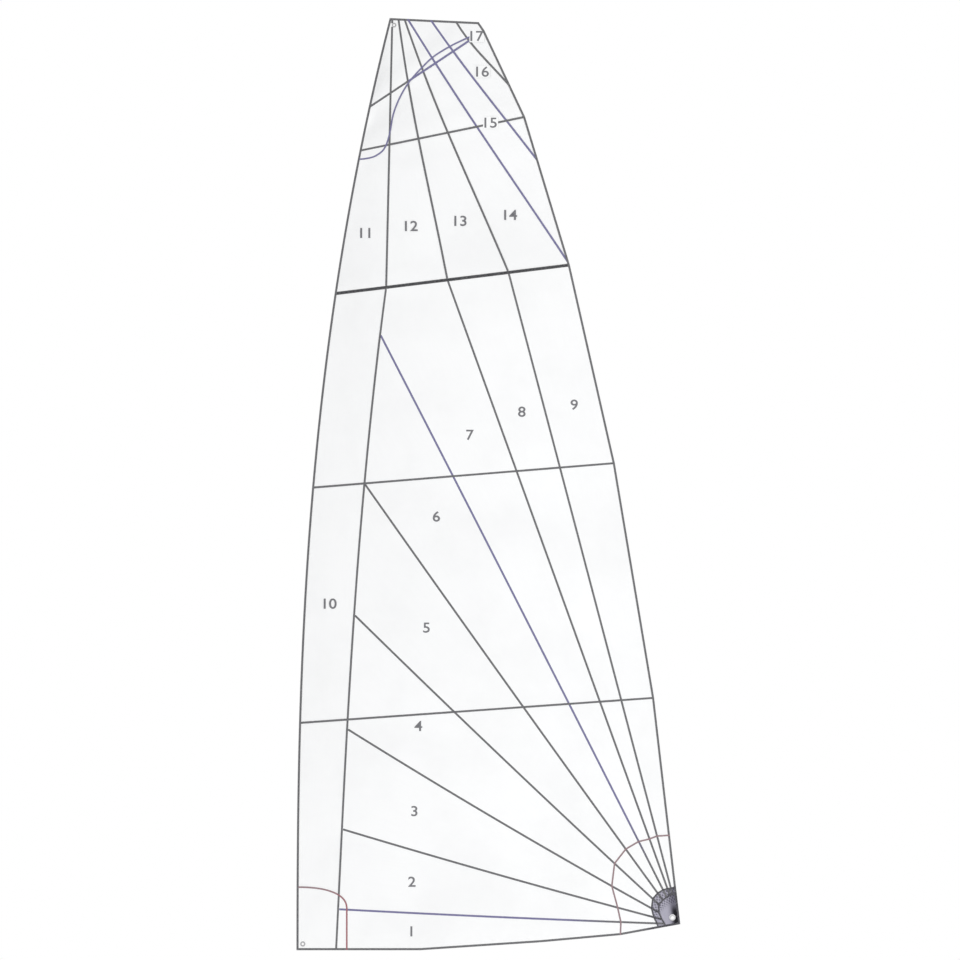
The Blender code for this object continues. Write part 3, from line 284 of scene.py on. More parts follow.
def ring_seats():
    """Centre on the sheet and unit normal to starboard of each ring, read from its packed washer."""
    seats = {}
    for name, (_, _, _, starboard) in RINGS.items():
        spots = spots_of(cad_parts[f"{name}_ring_washer"].data)
        middle = spots.mean(axis=0)
        normal = np.linalg.svd(spots - middle)[2][-1]
        normal = normal * np.sign(normal[1])
        near = ((spots - middle) @ normal).min()
        height = (starboard + CLOTH) * normal[1] + RING_GAP
        seats[name] = (middle + normal * (near - height), normal)
    return seats


RING_SEATS = ring_seats()


def sheet(points):
    """Offset of the sheet to starboard at side-view points: the sail's form, flattened to each ring's plane."""
    points = np.asarray(points, float)
    flat = points.reshape(-1, 2)
    offset = free_sheet(flat)
    for name, (centre, normal) in RING_SEATS.items():
        away = flat - centre[[0, 2]]
        plane = centre[1] - (away @ normal[[0, 2]]) / normal[1]
        weight = fading(np.linalg.norm(away, axis=1) - SEAT_FLANGES * RINGS[name][1], SEAT_FADE)
        offset = offset + (plane - offset) * weight
    return offset.reshape(points.shape[:-1])


# Lines in the side view
def runs_of(line):
    """Distances along a line at its points."""
    return np.concatenate(((0.0,), np.cumsum(np.linalg.norm(np.diff(line, axis=0), axis=1))))


def shares_of(line):
    """Shares of a line's length at its points."""
    run = runs_of(line)
    return run / run[-1]


def length_of(line):
    """Length of a line."""
    return float(np.linalg.norm(np.diff(line, axis=0), axis=1).sum())


def points_at(line, known, values):
    """Points of a line at values of a measure that is known at its own points."""
    return np.stack([np.interp(values, known, line[:, axis]) for axis in (0, 1)], axis=-1)


def along_line(line, shares):
    """Points at shares of a line's length."""
    return points_at(line, shares_of(line), shares)


def divided(corners, count):
    """Line through corners with evenly spaced points between them."""
    return along_line(corners, np.unique(np.concatenate((np.linspace(0, 1, count), shares_of(corners)))))


def corner_shares(line, bend=0.008):
    """Shares of a line's length where it turns by more than a bend in radians."""
    ahead = np.diff(line, axis=0)
    heading = np.unwrap(np.arctan2(ahead[:, 1], ahead[:, 0]))
    return tuple(shares_of(line)[1:-1][np.abs(np.diff(heading)) > bend])


def part_of(line, measure, low, high, count=60):
    """The part of a line between two values of a measure that grows along it."""
    number = np.arange(len(line))
    spots = np.linspace(np.interp(low, measure, number), np.interp(high, measure, number), count)
    spots = np.unique(np.concatenate((spots, number[(number > spots[0]) & (number < spots[-1])])))
    return points_at(line, number, spots)


def towards(line, centre, reach, skipped=0.0):
    """The part of a line that runs towards a centre, up to a reach from it, less what is skipped at its start."""
    away = -np.linalg.norm(line - centre, axis=1)
    return part_of(line, away, away[0] + skipped, -reach)


def normals_of(line):
    """Unit normals to the left of a line, the mean direction's at inner points."""
    return left_of(unit(np.gradient(line, axis=0)))


def lapped(line, centre):
    """A line moved away from a centre by the seam's lap, and carried on by as much at both ends."""
    left = normals_of(line)
    out = ((line.mean(axis=0) - centre) * left[len(left) // 2]).sum()
    moved = line + left * SEAM_LAP * (1.0 if out >= 0 else -1.0)
    moved[0] += unit(moved[0] - moved[1]) * SEAM_LAP
    moved[-1] += unit(moved[-1] - moved[-2]) * SEAM_LAP
    return moved


def straight(start, end, count=40):
    """Evenly spaced points on a straight line."""
    return np.asarray(start) + (np.asarray(end) - start) * np.linspace(0.0, 1.0, count)[:, None]


def bowed_forward(line, bow):
    """Line moved forward by up to a bow: the sine of half a turn of its share to the power 1.5, so that it is
    deepest past the middle."""
    return line - np.stack((bow * np.sin(math.pi * shares_of(line) ** 1.5), np.zeros(len(line))), axis=-1)


def luff_seam(height):
    """Aft seam of the luff panel: the luff's drift plus a width that swells with a parabola of the height."""
    height = np.asarray(height, float)
    width = PANEL_WIDTH + PANEL_SWELL * (1.0 - (1.0 - height / (PANEL_WIDEST * LUFF_HEIGHT)) ** 2)
    return np.stack((luff_aft(height) + width, height), axis=-1)


def batten_point(number, share):
    """Point of a batten's line at a share of its length."""
    return BATTEN_LUFF[number] + BATTEN_RUN[number] * share


def cross_seam_junction():
    """Where the luff panel's aft seam meets the cross seam."""
    run, height = BATTEN_RUN[UPPER], BATTEN_LUFF[UPPER, 1]
    for _ in range(20):
        height = BATTEN_LUFF[UPPER, 1] + run[1] / run[0] * (luff_seam(height)[0] - BATTEN_LUFF[UPPER, 0])
    return luff_seam(height)


JUNCTION = cross_seam_junction()


def leech_at(share):
    """Point of the leech's straights at the height of a share of the way from the clew to the head."""
    height = leech_straight(share)[1]
    return np.array((np.interp(height, LEECH_CORNERS[:, 1], LEECH_CORNERS[:, 0]), height))


def head_at(aft):
    """Point of the head line at a distance aft."""
    return HEAD_LUFF + np.array((aft, -HEAD_DROP * aft / HEAD_LENGTH))


def outline_with_sides():
    """The sail's outline, anticlockwise from the tack, and where each side starts and ends in it. The foot is
    straight from drop to drop below the line from the tack to the clew, the leech from batten end to batten end."""
    sides = {
        "foot": divided(CLEW * FOOT_CURVE[:, :1] - FOOT_CURVE[:, 1:] * (0.0, 1.0), 115),
        "leech": divided(LEECH_CORNERS, 260),
        "head": straight(HEAD_LEECH, HEAD_LUFF, 26),
        "luff": luff_points(np.linspace(LUFF_HEIGHT, 0.0, 261)),
    }
    spans, first = {}, 0
    for name, side in sides.items():
        spans[name] = (first, first + len(side) - 1)
        first += len(side) - 1
    return np.vstack([side[:-1] for side in sides.values()]), spans


OUTLINE, SPANS = outline_with_sides()


def drawn_in(distance):
    """The outline moved inwards: each corner moves along the sum of its sides' inward normals over one plus
    their product, so that both sides end at the distance."""
    inward = left_of(unit(np.roll(OUTLINE, -1, axis=0) - OUTLINE))
    before = np.roll(inward, 1, axis=0)
    return OUTLINE + distance * (inward + before) / (1.0 + (inward * before).sum(axis=1, keepdims=True))


def edge_line(name, distance=0.0):
    """One side of the outline, drawn in by a distance, anticlockwise."""
    ring = drawn_in(distance)
    first, last = SPANS[name]
    return ring[np.arange(first, last + 1) % len(ring)]


def room_inside(inset, luff_inset):
    """Room inside the folded tapes: further in at the luff, clear of the bolt rope."""
    room = drawn_in(inset)
    first, last = SPANS["luff"]
    number = np.arange(first, last + 1) % len(room)
    room[number] = drawn_in(luff_inset)[number]
    return room


PANEL_ROOM = room_inside(PANEL_INSET, LUFF_INSET)
TAPE_ROOM = room_inside(TAPE_INSET, TAPE_LUFF_INSET)


# Seams in the side view
def radial_seam(start, bow):
    """Seam to the clew: a straight plus a parabola whose height at the middle is the bow, to its right."""
    run = CLEW - start
    t = np.linspace(0.0, 1.0, SEAM_POINTS)[:, None]
    return start + run * t - left_of(unit(run)) * bow * 4 * t * (1 - t)


def clew_rays():
    """Unit directions from the clew: to the foot's third drop, over the last quarter of each radial seam, and
    to the lower batten's end on the leech."""
    foot = CLEW * FOOT_CURVE[3, 0] - (0.0, FOOT_CURVE[3, 1])
    quarters = [seam[-(SEAM_POINTS // 4 + 1)] for seam in RADIAL_SEAMS]
    return unit(np.array([foot, *quarters, BATTEN_LEECH[0]]) - CLEW)


CROSS_SEAM_FEET = [batten_point(UPPER, share) for share in CROSS_SEAM_SHARES]
SEAM_STARTS = [*(luff_seam(LUFF_HEIGHT * share) for share in LUFF_SEAM_SHARES), *CROSS_SEAM_FEET]
RADIAL_SEAMS = [radial_seam(start, bow) for start, bow in zip(SEAM_STARTS, SEAM_BOWS)]
CLEW_RAYS = clew_rays()
HEAD_FEET = [JUNCTION, *CROSS_SEAM_FEET, BATTEN_LEECH[UPPER], *(leech_at(share) for share in LEECH_SEAM_SHARES)]
HEAD_LINES = [
    bowed_forward(straight(foot, head_at(aft), 180), bow)
    for foot, aft, bow in zip(HEAD_FEET, HEAD_SEAMS, HEAD_BOWS)
]


def clew_fan(reaches, extra=0.0):
    """Outline of a clew patch: its own reach along each ray, carried past the foot, leech and corner."""
    reaches = (reaches + extra)[:, None]
    cos, sin = math.cos(FAN_SPREAD), math.sin(FAN_SPREAD)
    foot, leech = CLEW_RAYS[0], CLEW_RAYS[-1]
    first = CLEW + (foot * cos + left_of(foot) * sin) * reaches[0]
    last = CLEW + (leech * cos - left_of(leech) * sin) * reaches[-1]
    return np.vstack((first, CLEW + CLEW_RAYS * reaches, last, CLEW - (foot + leech) * FAN_PAST))[::-1]


def tack_patch_shape(extra=0.0):
    """Outline of the tack patch: an upright side, then a rounded top whose aft and upward shares are powers
    of a turning angle's cosine and sine."""
    reach, rise = TACK_PATCH_REACH + extra, TACK_PATCH_HEIGHT - TACK_PATCH_SIDE + extra
    turn = compass(np.linspace(0.0, math.pi / 2, 41)).clip(0)
    top = turn ** (2 / TACK_PATCH_POWER) * (reach, rise) + (0.0, TACK_PATCH_SIDE)
    past = -OVERREACH
    return np.vstack(((past, past), (reach, past), top, (past, TACK_PATCH_HEIGHT + extra)))


def rounded_line(corners, count):
    """Smooth line through corner points: a cubic in each span through the four points round it."""
    t = np.linspace(0.0, len(corners) - 1.0, count)
    band = np.clip(t.astype(int), 0, len(corners) - 2)
    return eased(corners, band, (t - band)[:, None])


def head_patch_edge():
    """Lower edge of the head patch: rounded up from the luff, then bowed over the gaff batten to its leech."""
    run = BATTEN_RUN[GAFF]
    bow = BATTEN_LUFF[GAFF] + run * HEAD_PATCH_RISE[:, :1] + left_of(unit(run)) * HEAD_PATCH_RISE[:, 1:]
    return rounded_line(np.vstack((HEAD_LUFF + HEAD_PATCH, bow, BATTEN_LEECH[GAFF])), 80)


def head_patch_shape(extra=0.0):
    """Outline of the head patch, carried past the leech, the head and the luff."""
    edge = head_patch_edge()
    edge = edge - normals_of(edge) * extra
    past = edge[-1] + unit(edge[-1] - edge[-2]) * 0.1
    top = LUFF_HEIGHT + OVERREACH
    return np.vstack((edge, past, (past[0], top), (0.0, top), (0.0, edge[0, 1])))


def disc(centre, radius):
    """Circle as a closed outline."""
    return centre + radius * compass(np.linspace(0.0, 2 * math.pi, 120, endpoint=False))


def inside(outline, points):
    """Which points lie inside an outline: those whose ray aft crosses it an odd number of times."""
    a, b = outline, np.roll(outline, -1, axis=0)
    x, z = points[:, 0, None], points[:, 1, None]
    spans = (a[:, 1] > z) != (b[:, 1] > z)
    rise = np.where(a[:, 1] == b[:, 1], 1.0, b[:, 1] - a[:, 1])
    crossing = a[:, 0] + (z - a[:, 1]) / rise * (b[:, 0] - a[:, 0])
    return (spans & (x < crossing)).sum(axis=1) % 2 == 1


def reach_to(outline, centre, angles):
    """Distance from a centre to an outline along angles: the nearest crossing of each ray with a side."""
    a = outline - centre
    side = np.roll(a, -1, axis=0) - a
    ray = compass(angles)[:, None]
    across = cross(ray, side)
    across = np.where(np.abs(across) < 1e-12, np.nan, across)
    reach = cross(a, side) / across
    share = cross(a, ray) / across
    good = (share >= -1e-9) & (share <= 1 + 1e-9) & (reach > 0)
    return np.where(good, reach, np.inf).min(axis=1)


def common_outline(centre, outlines, step):
    """Outline of what several outlines share, with points a step apart and at every corner: along each angle
    from the centre the nearest of them counts."""
    corners = [np.arctan2(*(outline - centre).T[::-1]) for outline in outlines]
    angles = np.unique(np.concatenate((np.linspace(-math.pi, math.pi, 721)[:-1], *corners)))
    reaches = np.stack([reach_to(outline, centre, angles) for outline in outlines])
    nearest = reaches.argmin(axis=0)
    here = np.arange(len(angles))
    after = (here + 1) % len(angles)
    swap = here[nearest != nearest[after]]
    first, second = nearest[swap], nearest[after[swap]]
    gap_0 = reaches[second, swap] - reaches[first, swap]
    gap_1 = reaches[first, after[swap]] - reaches[second, after[swap]]
    turn = (angles[after[swap]] - angles[swap]) % (2 * math.pi)
    angles = np.unique(np.concatenate((angles, angles[swap] + turn * gap_0 / (gap_0 + gap_1))))
    reach = np.stack([reach_to(outline, centre, angles) for outline in outlines]).min(axis=0)
    dense = centre + reach[:, None] * compass(angles)
    ahead = np.roll(dense, -1, axis=0) - dense
    behind = np.roll(ahead, 1, axis=0)
    bend = np.abs(cross(ahead, behind))
    bend = bend / (np.linalg.norm(ahead, axis=1) * np.linalg.norm(behind, axis=1) + 1e-12)
    closed = np.vstack((dense, dense[:1]))
    known = shares_of(closed)
    count = max(int(length_of(closed) / step), 24)
    spots = np.unique(np.concatenate((np.linspace(0.0, 1.0, count + 1)[:-1], known[:-1][bend > 0.05])))
    return along_line(closed, spots)


# Nets: points in the side view with the faces between them
def grid_faces(rows, columns, closed=False):
    """Faces of a grid of points, its columns joined round when it is closed."""
    row = np.arange(rows - 1)[:, None] * columns
    column = np.arange(columns if closed else columns - 1)[None]
    following = (column + 1) % columns
    ahead = columns + following
    return np.stack((row + column, row + following, row + ahead, row + columns + column), -1).reshape(-1, 4)


def gore_net(low, high, outer, inner, cell, breaks_along, breaks_across):
    """Net between four edges. The two sides are blended across, the two ends along, and the flat blend of the
    four corners is taken off (a Coons patch). Sides run from the outer end to the inner, ends from low to high."""
    rows = max(int(max(length_of(low), length_of(high)) / cell), 3) + 1
    columns = max(int(max(length_of(outer), length_of(inner)) / cell), 3) + 1
    u = np.unique(np.concatenate((np.linspace(0, 1, rows), breaks_along)))
    v = np.unique(np.concatenate((np.linspace(0, 1, columns), breaks_across)))
    side_0, side_1 = along_line(low, u), along_line(high, u)
    end_0, end_1 = along_line(outer, v), along_line(inner, v)
    across = v[:, None]
    end_0 = end_0 + (1 - across) * (side_0[0] - end_0[0]) + across * (side_1[0] - end_0[-1])
    end_1 = end_1 + (1 - across) * (side_0[-1] - end_1[0]) + across * (side_1[-1] - end_1[-1])
    u, v = u[:, None, None], v[None, :, None]
    net = (1 - v) * side_0[:, None] + v * side_1[:, None] + (1 - u) * end_0[None] + u * end_1[None]
    net -= (1 - u) * ((1 - v) * side_0[0] + v * side_1[0]) + u * ((1 - v) * side_0[-1] + v * side_1[-1])
    return net.reshape(-1, 2), grid_faces(net.shape[0], net.shape[1])


def collar_net(outline, centre, hole, rings, power):
    """Net from a round hole out to an outline: along each spoke the distance grows with a power, so that the
    rows are close together round the hole."""
    spokes = outline - centre
    length = np.linalg.norm(spokes, axis=1)
    share = (np.linspace(0.0, 1.0, rings) ** power)[:, None]
    reach = hole + (length - hole) * share
    net = centre + reach[..., None] * (spokes / length[:, None])[None]
    return net.reshape(-1, 2), grid_faces(rings, len(outline), closed=True)


def band_net(line, offsets, step):
    """Net along a line, its columns at offsets to the line's left. Also gives each point's run and offset."""
    count = max(int(length_of(line) / step), 2) + 1
    spots = np.unique(np.round(np.concatenate((np.linspace(0, 1, count), corner_shares(line, 0.02))), 9))
    path = along_line(line, spots)
    left = normals_of(path)
    net = path[:, None] + left[:, None] * offsets[None, :, None]
    return net.reshape(-1, 2), grid_faces(len(spots), len(offsets)), net_marks(spots * length_of(line), offsets)


# Meshes
def net_marks(run, across):
    """Marks of a net's points from the runs of its rows and the offsets of its columns."""
    return np.stack(np.broadcast_arrays(run[:, None], across), axis=-1).reshape(-1, 2)


def make_mesh(name, vertices, faces, marks=None, crease=40.0):
    """Mesh from whole arrays, its corners' marks kept as a UV map in metres."""
    mesh = bpy.data.meshes.new(name)
    faces = [face for block in faces for face in block.tolist()]
    mesh.from_pydata(vertices.tolist(), [], faces)
    if marks is not None:
        corner = np.empty(len(mesh.loops), np.int32)
        mesh.loops.foreach_get("vertex_index", corner)
        mesh.uv_layers.new(name="thread").data.foreach_set("uv", marks[corner].ravel())
    mesh.shade_smooth()
    mesh.set_sharp_from_angle(angle=math.radians(crease))
    return mesh


def add_piece(name, mesh, material, body=BODY):
    """Object in the scene that wears a material, rides on a body and takes its finish from a slot."""
    piece = bpy.data.objects.new(name, mesh)
    bpy.context.collection.objects.link(piece)
    mesh.materials.append(material)
    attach(piece, body)
    return piece


def thread_marks(points):
    """Marks of points along and across the longest way of their net, in metres."""
    middle = points.mean(axis=0)
    axis = np.linalg.svd(points - middle, full_matrices=False)[2][0]
    axis = axis * (1.0 if axis[0] >= 0 else -1.0)
    return np.stack(((points - middle) @ axis, (points - middle) @ left_of(axis)), axis=-1)


def cloth_mesh(name, points, faces, level, thickness, marks):
    """Closed body over a net: one copy of it at the level, one a thickness further to starboard, and a rim of
    faces round every edge that has a face on one side only. Also gives its flat area."""
    level = np.broadcast_to(level, len(points))
    corners = points[faces]
    if cross(corners, np.roll(corners, -1, axis=1)).sum() < 0:
        faces = faces[:, ::-1]
    port = raised(points, sheet(points) + level)
    starboard = port + (0.0, thickness, 0.0)
    count = len(points)
    edges = np.stack((faces, np.roll(faces, -1, axis=1)), axis=-1).reshape(-1, 2)
    key = edges[:, 0].astype(np.int64) * count + edges[:, 1]
    back = edges[:, 1].astype(np.int64) * count + edges[:, 0]
    rim = edges[~np.isin(key, back)]
    sides = np.stack((rim[:, 1], rim[:, 0], rim[:, 0] + count, rim[:, 1] + count), axis=-1)
    solid = np.concatenate((port, starboard))
    mesh = make_mesh(name, solid, [faces, faces[:, ::-1] + count, sides], np.concatenate((marks, marks)))
    a, b, c, d = (port[faces[:, k]] for k in range(4))
    surface = np.linalg.norm(np.cross(c - a, d - b), axis=1).sum() / 2
    return mesh, float(surface)


def cut_size(marks, area):
    """Width and length of the rectangle that the cloth is cut from, and its area."""
    width, length = sorted(float(side) for side in marks.max(axis=0) - marks.min(axis=0))
    return (max(width, LEAST_WIDTH), length), min(area, width * length)


def sew(name, points, faces, level, material, thickness=CLOTH, marks=None, nodes=()):
    if marks is None:
        marks = thread_marks(points)
    mesh, surface = cloth_mesh(name, points, faces, level, thickness, marks)
    piece = add_piece(name, mesh, material)
    if nodes:
        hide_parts(*nodes)
    flat, area = cut_size(marks, surface)
    max(area, 0.3 * flat[0] * flat[1])


# Materials
class Shade:
    """A socket of a finish. Python's arithmetic on it adds Math nodes."""

    def __init__(self, finish, socket):
        self.finish = finish
        self.socket = socket

    def math(self, operation, *values):
        """Math node on this socket and other values."""
        return self.finish.node("ShaderNodeMath", {"operation": operation}, dict(enumerate((self, *values))))

    def __add__(self, other):
        return self.math("ADD", other)

    def __mul__(self, other):
        return self.math("MULTIPLY", other)

    def __sub__(self, other):
        return self.math("SUBTRACT", other)

    def __rsub__(self, other):
        return self.finish.node("ShaderNodeMath", {"operation": "SUBTRACT"}, {0: other, 1: self})

    def __truediv__(self, other):
        return self.math("DIVIDE", other)

    __radd__ = __add__
    __rmul__ = __mul__


class Finish:
    """A material under construction, round its Principled shader."""

    def __init__(self, name, roughness=0.6, **constants):
        self.material = bpy.data.materials.new(name)
        self.material.use_nodes = True
        self.tree = self.material.node_tree
        self.shader = self.tree.nodes["Principled BSDF"]
        self.shader.inputs["Roughness"].default_value = roughness
        for key, value in constants.items():
            self.shader.inputs[key.replace("_", " ")].default_value = value

    def node(self, kind, settings=None, values=None, output=0):
        """Adds a node: its settings are set first, then its sockets get values or links."""
        made = self.tree.nodes.new(kind)
        for key, value in (settings or {}).items():
            setattr(made, key, value)
        for key, value in (values or {}).items():
            self.feed(made.inputs[key], value)
        return Shade(self, made.outputs[output])

    def feed(self, socket, value):
        """Links a shade to a socket, or sets the socket's own value."""
        if isinstance(value, Shade):
            self.tree.links.new(value.socket, socket)
        else:
            socket.default_value = value

    def place(self, kind="Object"):
        """Object coordinates, or the piece's own thread marks."""
        if kind == "Object":
            return self.node("ShaderNodeTexCoord", output="Object")
        return self.node("ShaderNodeUVMap", {"uv_map": "thread"})

    def parts(self, vector):
        """The three parts of a vector."""
        split = self.tree.nodes.new("ShaderNodeSeparateXYZ")
        self.tree.links.new(vector.socket, split.inputs[0])
        return [Shade(self, output) for output in split.outputs]

    def joined(self, x, y, z=0.0):
        """A vector from three parts."""
        return self.node("ShaderNodeCombineXYZ", None, {0: x, 1: y, 2: z})

    def noise(self, vector, scale, detail=3.0, roughness=0.5):
        """Noise between 0 and 1."""
        return self.node("ShaderNodeTexNoise", None, {
            "Vector": vector, "Scale": scale, "Detail": detail, "Roughness": roughness})

    def ramp(self, value, low, high, start=0.0, end=1.0):
        """Smooth change from start to end while the value goes from low to high."""
        return self.node("ShaderNodeMapRange", {"interpolation_type": "SMOOTHSTEP"}, {
            "Value": value, "From Min": low, "From Max": high, "To Min": start, "To Max": end})

    def wave(self, value, period):
        """Sine of a length, between -1 and 1, that repeats after a period."""
        return (value * (2 * math.pi / period)).math("SINE")

    def mix(self, factor, first, second):
        """Colour between two others."""
        mixed = self.tree.nodes.new("ShaderNodeMix")
        mixed.data_type = "RGBA"
        for number, value in ((0, factor), (6, first), (7, second)):
            self.feed(mixed.inputs[number], rgba(value))
        return Shade(self, mixed.outputs[2])

    def colour(self, value):
        """Colour of the surface."""
        self.feed(self.shader.inputs["Base Color"], rgba(value))

    def rough(self, value):
        """Roughness of the surface."""
        self.feed(self.shader.inputs["Roughness"], value)

    def bump(self, height, depth):
        """Relief whose height of 1 stands for a depth in metres."""
        relief = self.node("ShaderNodeBump", None, {"Height": height, "Distance": depth})
        self.feed(self.shader.inputs["Normal"], relief)


def rgba(value):
    """A colour with its alpha, or the value itself when it is a socket or a number."""
    if isinstance(value, (tuple, list)) and len(value) == 3:
        return (*value, 1.0)
    return value


def tone(colour, factor):
    """A colour made darker or lighter, within what a colour may be."""
    return tuple(min(max(part * factor, 0.0), 1.0) for part in colour)


def srgb(*levels):
    """Linear colour of 0 to 255 screen levels."""
    return tuple(float(((level / 255 + 0.055) / 1.055) ** 2.4) for level in levels)


# Colour of the sewing thread and length of one zigzag
THREAD, STITCH = srgb(186, 186, 190), 0.009


@functools.cache
def sailcloth(name, colour, weave, wrinkle, painted_sheen=1.0):
    """Woven sailcloth: threads along and across the marks, streaky yarns, soft wrinkles and faint soiling, its
    colour toned by a painted sheen that sets the panels a shade apart.
    """
    finish = Finish(name, 0.55, Specular_IOR_Level=0.3)
    along, across, _ = finish.parts(finish.place("thread"))
    # Painted sheen: the cloth's colour is toned lighter or darker per panel, standing for light falling on its
    # thread direction
    base = tone(colour, painted_sheen)
    streaks = finish.noise(finish.joined(along * 3.0, across * 260.0), 1.0, 2.0)
    soiling = finish.noise(finish.place(), 1.7, 4.0, 0.6)
    tint = finish.mix(finish.ramp(soiling, 0.35, 0.75), base, tone(base, 0.955))
    finish.colour(finish.mix(finish.ramp(streaks, 0.4, 0.8) * 0.5, tint, tone(base, 0.965)))
    cloth = finish.wave(along, weave) * finish.wave(across, weave)
    creases = finish.noise(finish.joined(along * 1.5, across * 5.0), 1.0, 3.0, 0.55)
    finish.bump(cloth * (0.00006 / wrinkle) + creases, wrinkle)
    finish.rough(finish.ramp(soiling, 0.3, 0.7, 0.5, 0.62))
    return finish.material


@functools.cache
def stitched_tape(name, colour, width, fade=None):
    """Sewn tape: a fine rib, a zigzag stitch along both sides and rubbed edges. A tape that fades turns to
    another colour near a corner, given as (colour, corner, near, far)."""
    finish = Finish(name, 0.7, Specular_IOR_Level=0.2)
    along, across, _ = finish.parts(finish.place("thread"))
    base = colour
    if fade is not None:
        other, corner, near, far = fade
        apart = {"operation": "DISTANCE"}
        away = finish.node("ShaderNodeVectorMath", apart, {0: finish.place(), 1: corner}, "Value")
        base = finish.mix(finish.ramp(away, near, far), other, colour)
    zigzag = (along / STITCH).math("PINGPONG", 0.5) * (width * 0.36) + width * 0.14
    line = (across.math("ABSOLUTE") - zigzag).math("ABSOLUTE")
    stitch = finish.ramp(line, 0.0004, 0.0008, 1.0, 0.0)
    rib = finish.wave(along, 0.0016)
    rubbed = finish.noise(finish.joined(along * 60.0, across * 200.0), 1.0, 3.0)
    plain = finish.mix(finish.ramp(rubbed, 0.45, 0.8) * 0.35, base, tone(THREAD, 0.8))
    finish.colour(finish.mix(stitch * 0.55, plain, THREAD))
    finish.bump(rib * 0.1 + stitch, 0.0003)
    return finish.material


@functools.cache
def fan_cloth(light, dark, corner):
    """Plies of the clew's fan: darker towards the leech and the foot, with dark stitch marks in its outer zone."""
    finish = Finish("fan_cloth", 0.6, Specular_IOR_Level=0.2)
    x, _, z = finish.parts(finish.place())
    aft, up = x - float(CLEW[0]), z - float(CLEW[1])
    away = (aft * aft + up * up).math("SQRT")
    inward = (aft * float(LEECH_LEAN[1]) - up * float(LEECH_LEAN[0])) * -1.0
    marks = (up.math("ARCTAN2", aft) * 60.0).math("SINE") * (away * 210.0).math("SINE")
    marks = finish.ramp(marks, -0.1, 0.3) * finish.ramp(away, 0.15, 0.19)
    edge = finish.ramp(inward, 0.090, 0.030, 0.0, 0.75)
    base = finish.mix((edge + marks * 0.7).math("MINIMUM", 1.0), light, dark)
    finish.colour(finish.mix(finish.ramp(inward, 0.066, 0.034) * finish.ramp(up, 0.16, 0.09), base, corner))
    finish.bump(marks, 0.0003)
    return finish.material


@functools.cache
def rope_fibre(colour):
    """Laid rope: bright yarns that follow the strands, a little dirt in the grooves."""
    finish = Finish("rope_fibre", 0.85, Specular_IOR_Level=0.2)
    along, across, _ = finish.parts(finish.place("thread"))
    yarns = finish.wave(along * 0.6 + across, 0.0012)
    dirt = finish.noise(finish.place(), 90.0)
    finish.colour(finish.mix(finish.ramp(dirt, 0.45, 0.75) * 0.6, colour, tone(colour, 0.7)))
    finish.bump(yarns, 0.0002)
    return finish.material


@functools.cache
def glass_fibre():
    """Pultruded glass fibre: long straight rovings under a clear skin."""
    finish = Finish("glass_fibre", 0.32, Coat_Weight=0.4, Coat_Roughness=0.15)
    x, _, z = finish.parts(finish.place())
    streaks = finish.noise(finish.joined(x * 3.0, z * 900.0), 1.0, 3.0, 0.6)
    green, straw = (0.55, 0.56, 0.34), (0.70, 0.66, 0.44)
    finish.colour(finish.mix(finish.ramp(streaks, 0.3, 0.7), green, straw))
    finish.bump(streaks, 0.00008)
    return finish.material


@functools.cache
def moulded_nylon():
    """Black moulded nylon with a spark-eroded grain and scuffs."""
    finish = Finish("moulded_nylon", 0.45)
    scuffs = finish.noise(finish.place(), 120.0, 4.0, 0.7)
    finish.colour(finish.mix(finish.ramp(scuffs, 0.55, 0.8), (0.022, 0.022, 0.025), (0.06, 0.06, 0.065)))
    finish.rough(finish.ramp(scuffs, 0.4, 0.8, 0.4, 0.6))
    finish.bump(finish.noise(finish.place(), 1400.0, 2.0), 0.00006)
    return finish.material


@functools.cache
def pressed_steel():
    """Pressed stainless steel, polished by the die, with fine turning marks and water spots."""
    finish = Finish("pressed_steel", 0.22, Metallic=1.0)
    spots = finish.noise(finish.place(), 240.0, 3.0, 0.6)
    finish.colour(finish.mix(finish.ramp(spots, 0.5, 0.8), (0.44, 0.44, 0.45), (0.33, 0.33, 0.33)))
    finish.rough(finish.ramp(spots, 0.4, 0.8, 0.18, 0.38))
    finish.bump(finish.noise(finish.place(), 1800.0, 2.0), 0.00003)
    return finish.material


@functools.cache
def printed_ink(colour):
    """Number ink rubbed thin in places."""
    finish = Finish("number_ink", 0.6)
    rubbed = finish.noise(finish.place(), 160.0, 4.0, 0.6)
    finish.colour(finish.mix(finish.ramp(rubbed, 0.55, 0.85) * 0.6, colour, tone(colour, 2.2)))
    return finish.material


# Settings
def colour_setting(name, description, default):
    """A colour whose parts lie between 0 and 1."""
    return bpy.props.FloatVectorProperty(
        name=name, description=description, subtype="COLOR", default=default, min=0, max=1)


def length_setting(name, description, default):
    """A length in metres."""
    return bpy.props.FloatProperty(
        name=name, description=description, subtype="DISTANCE", unit="LENGTH", default=default)


class MainsailCloth(bpy.types.PropertyGroup):
    """Cloth of the panels, patches and pockets."""

    white: colour_setting("Sailcloth", "Colour of the panels", (0.93, 0.935, 0.94))
    patch: colour_setting("Patch cloth", "Colour of the corner patches", (0.92, 0.925, 0.93))
    pocket: colour_setting("Pocket cloth", "Colour of the batten pockets", (0.80, 0.81, 0.83))
    weave: length_setting("Weave", "Width of two threads", 0.0016)
    wrinkle: length_setting("Wrinkle", "Depth of the soft wrinkles", 0.0035)


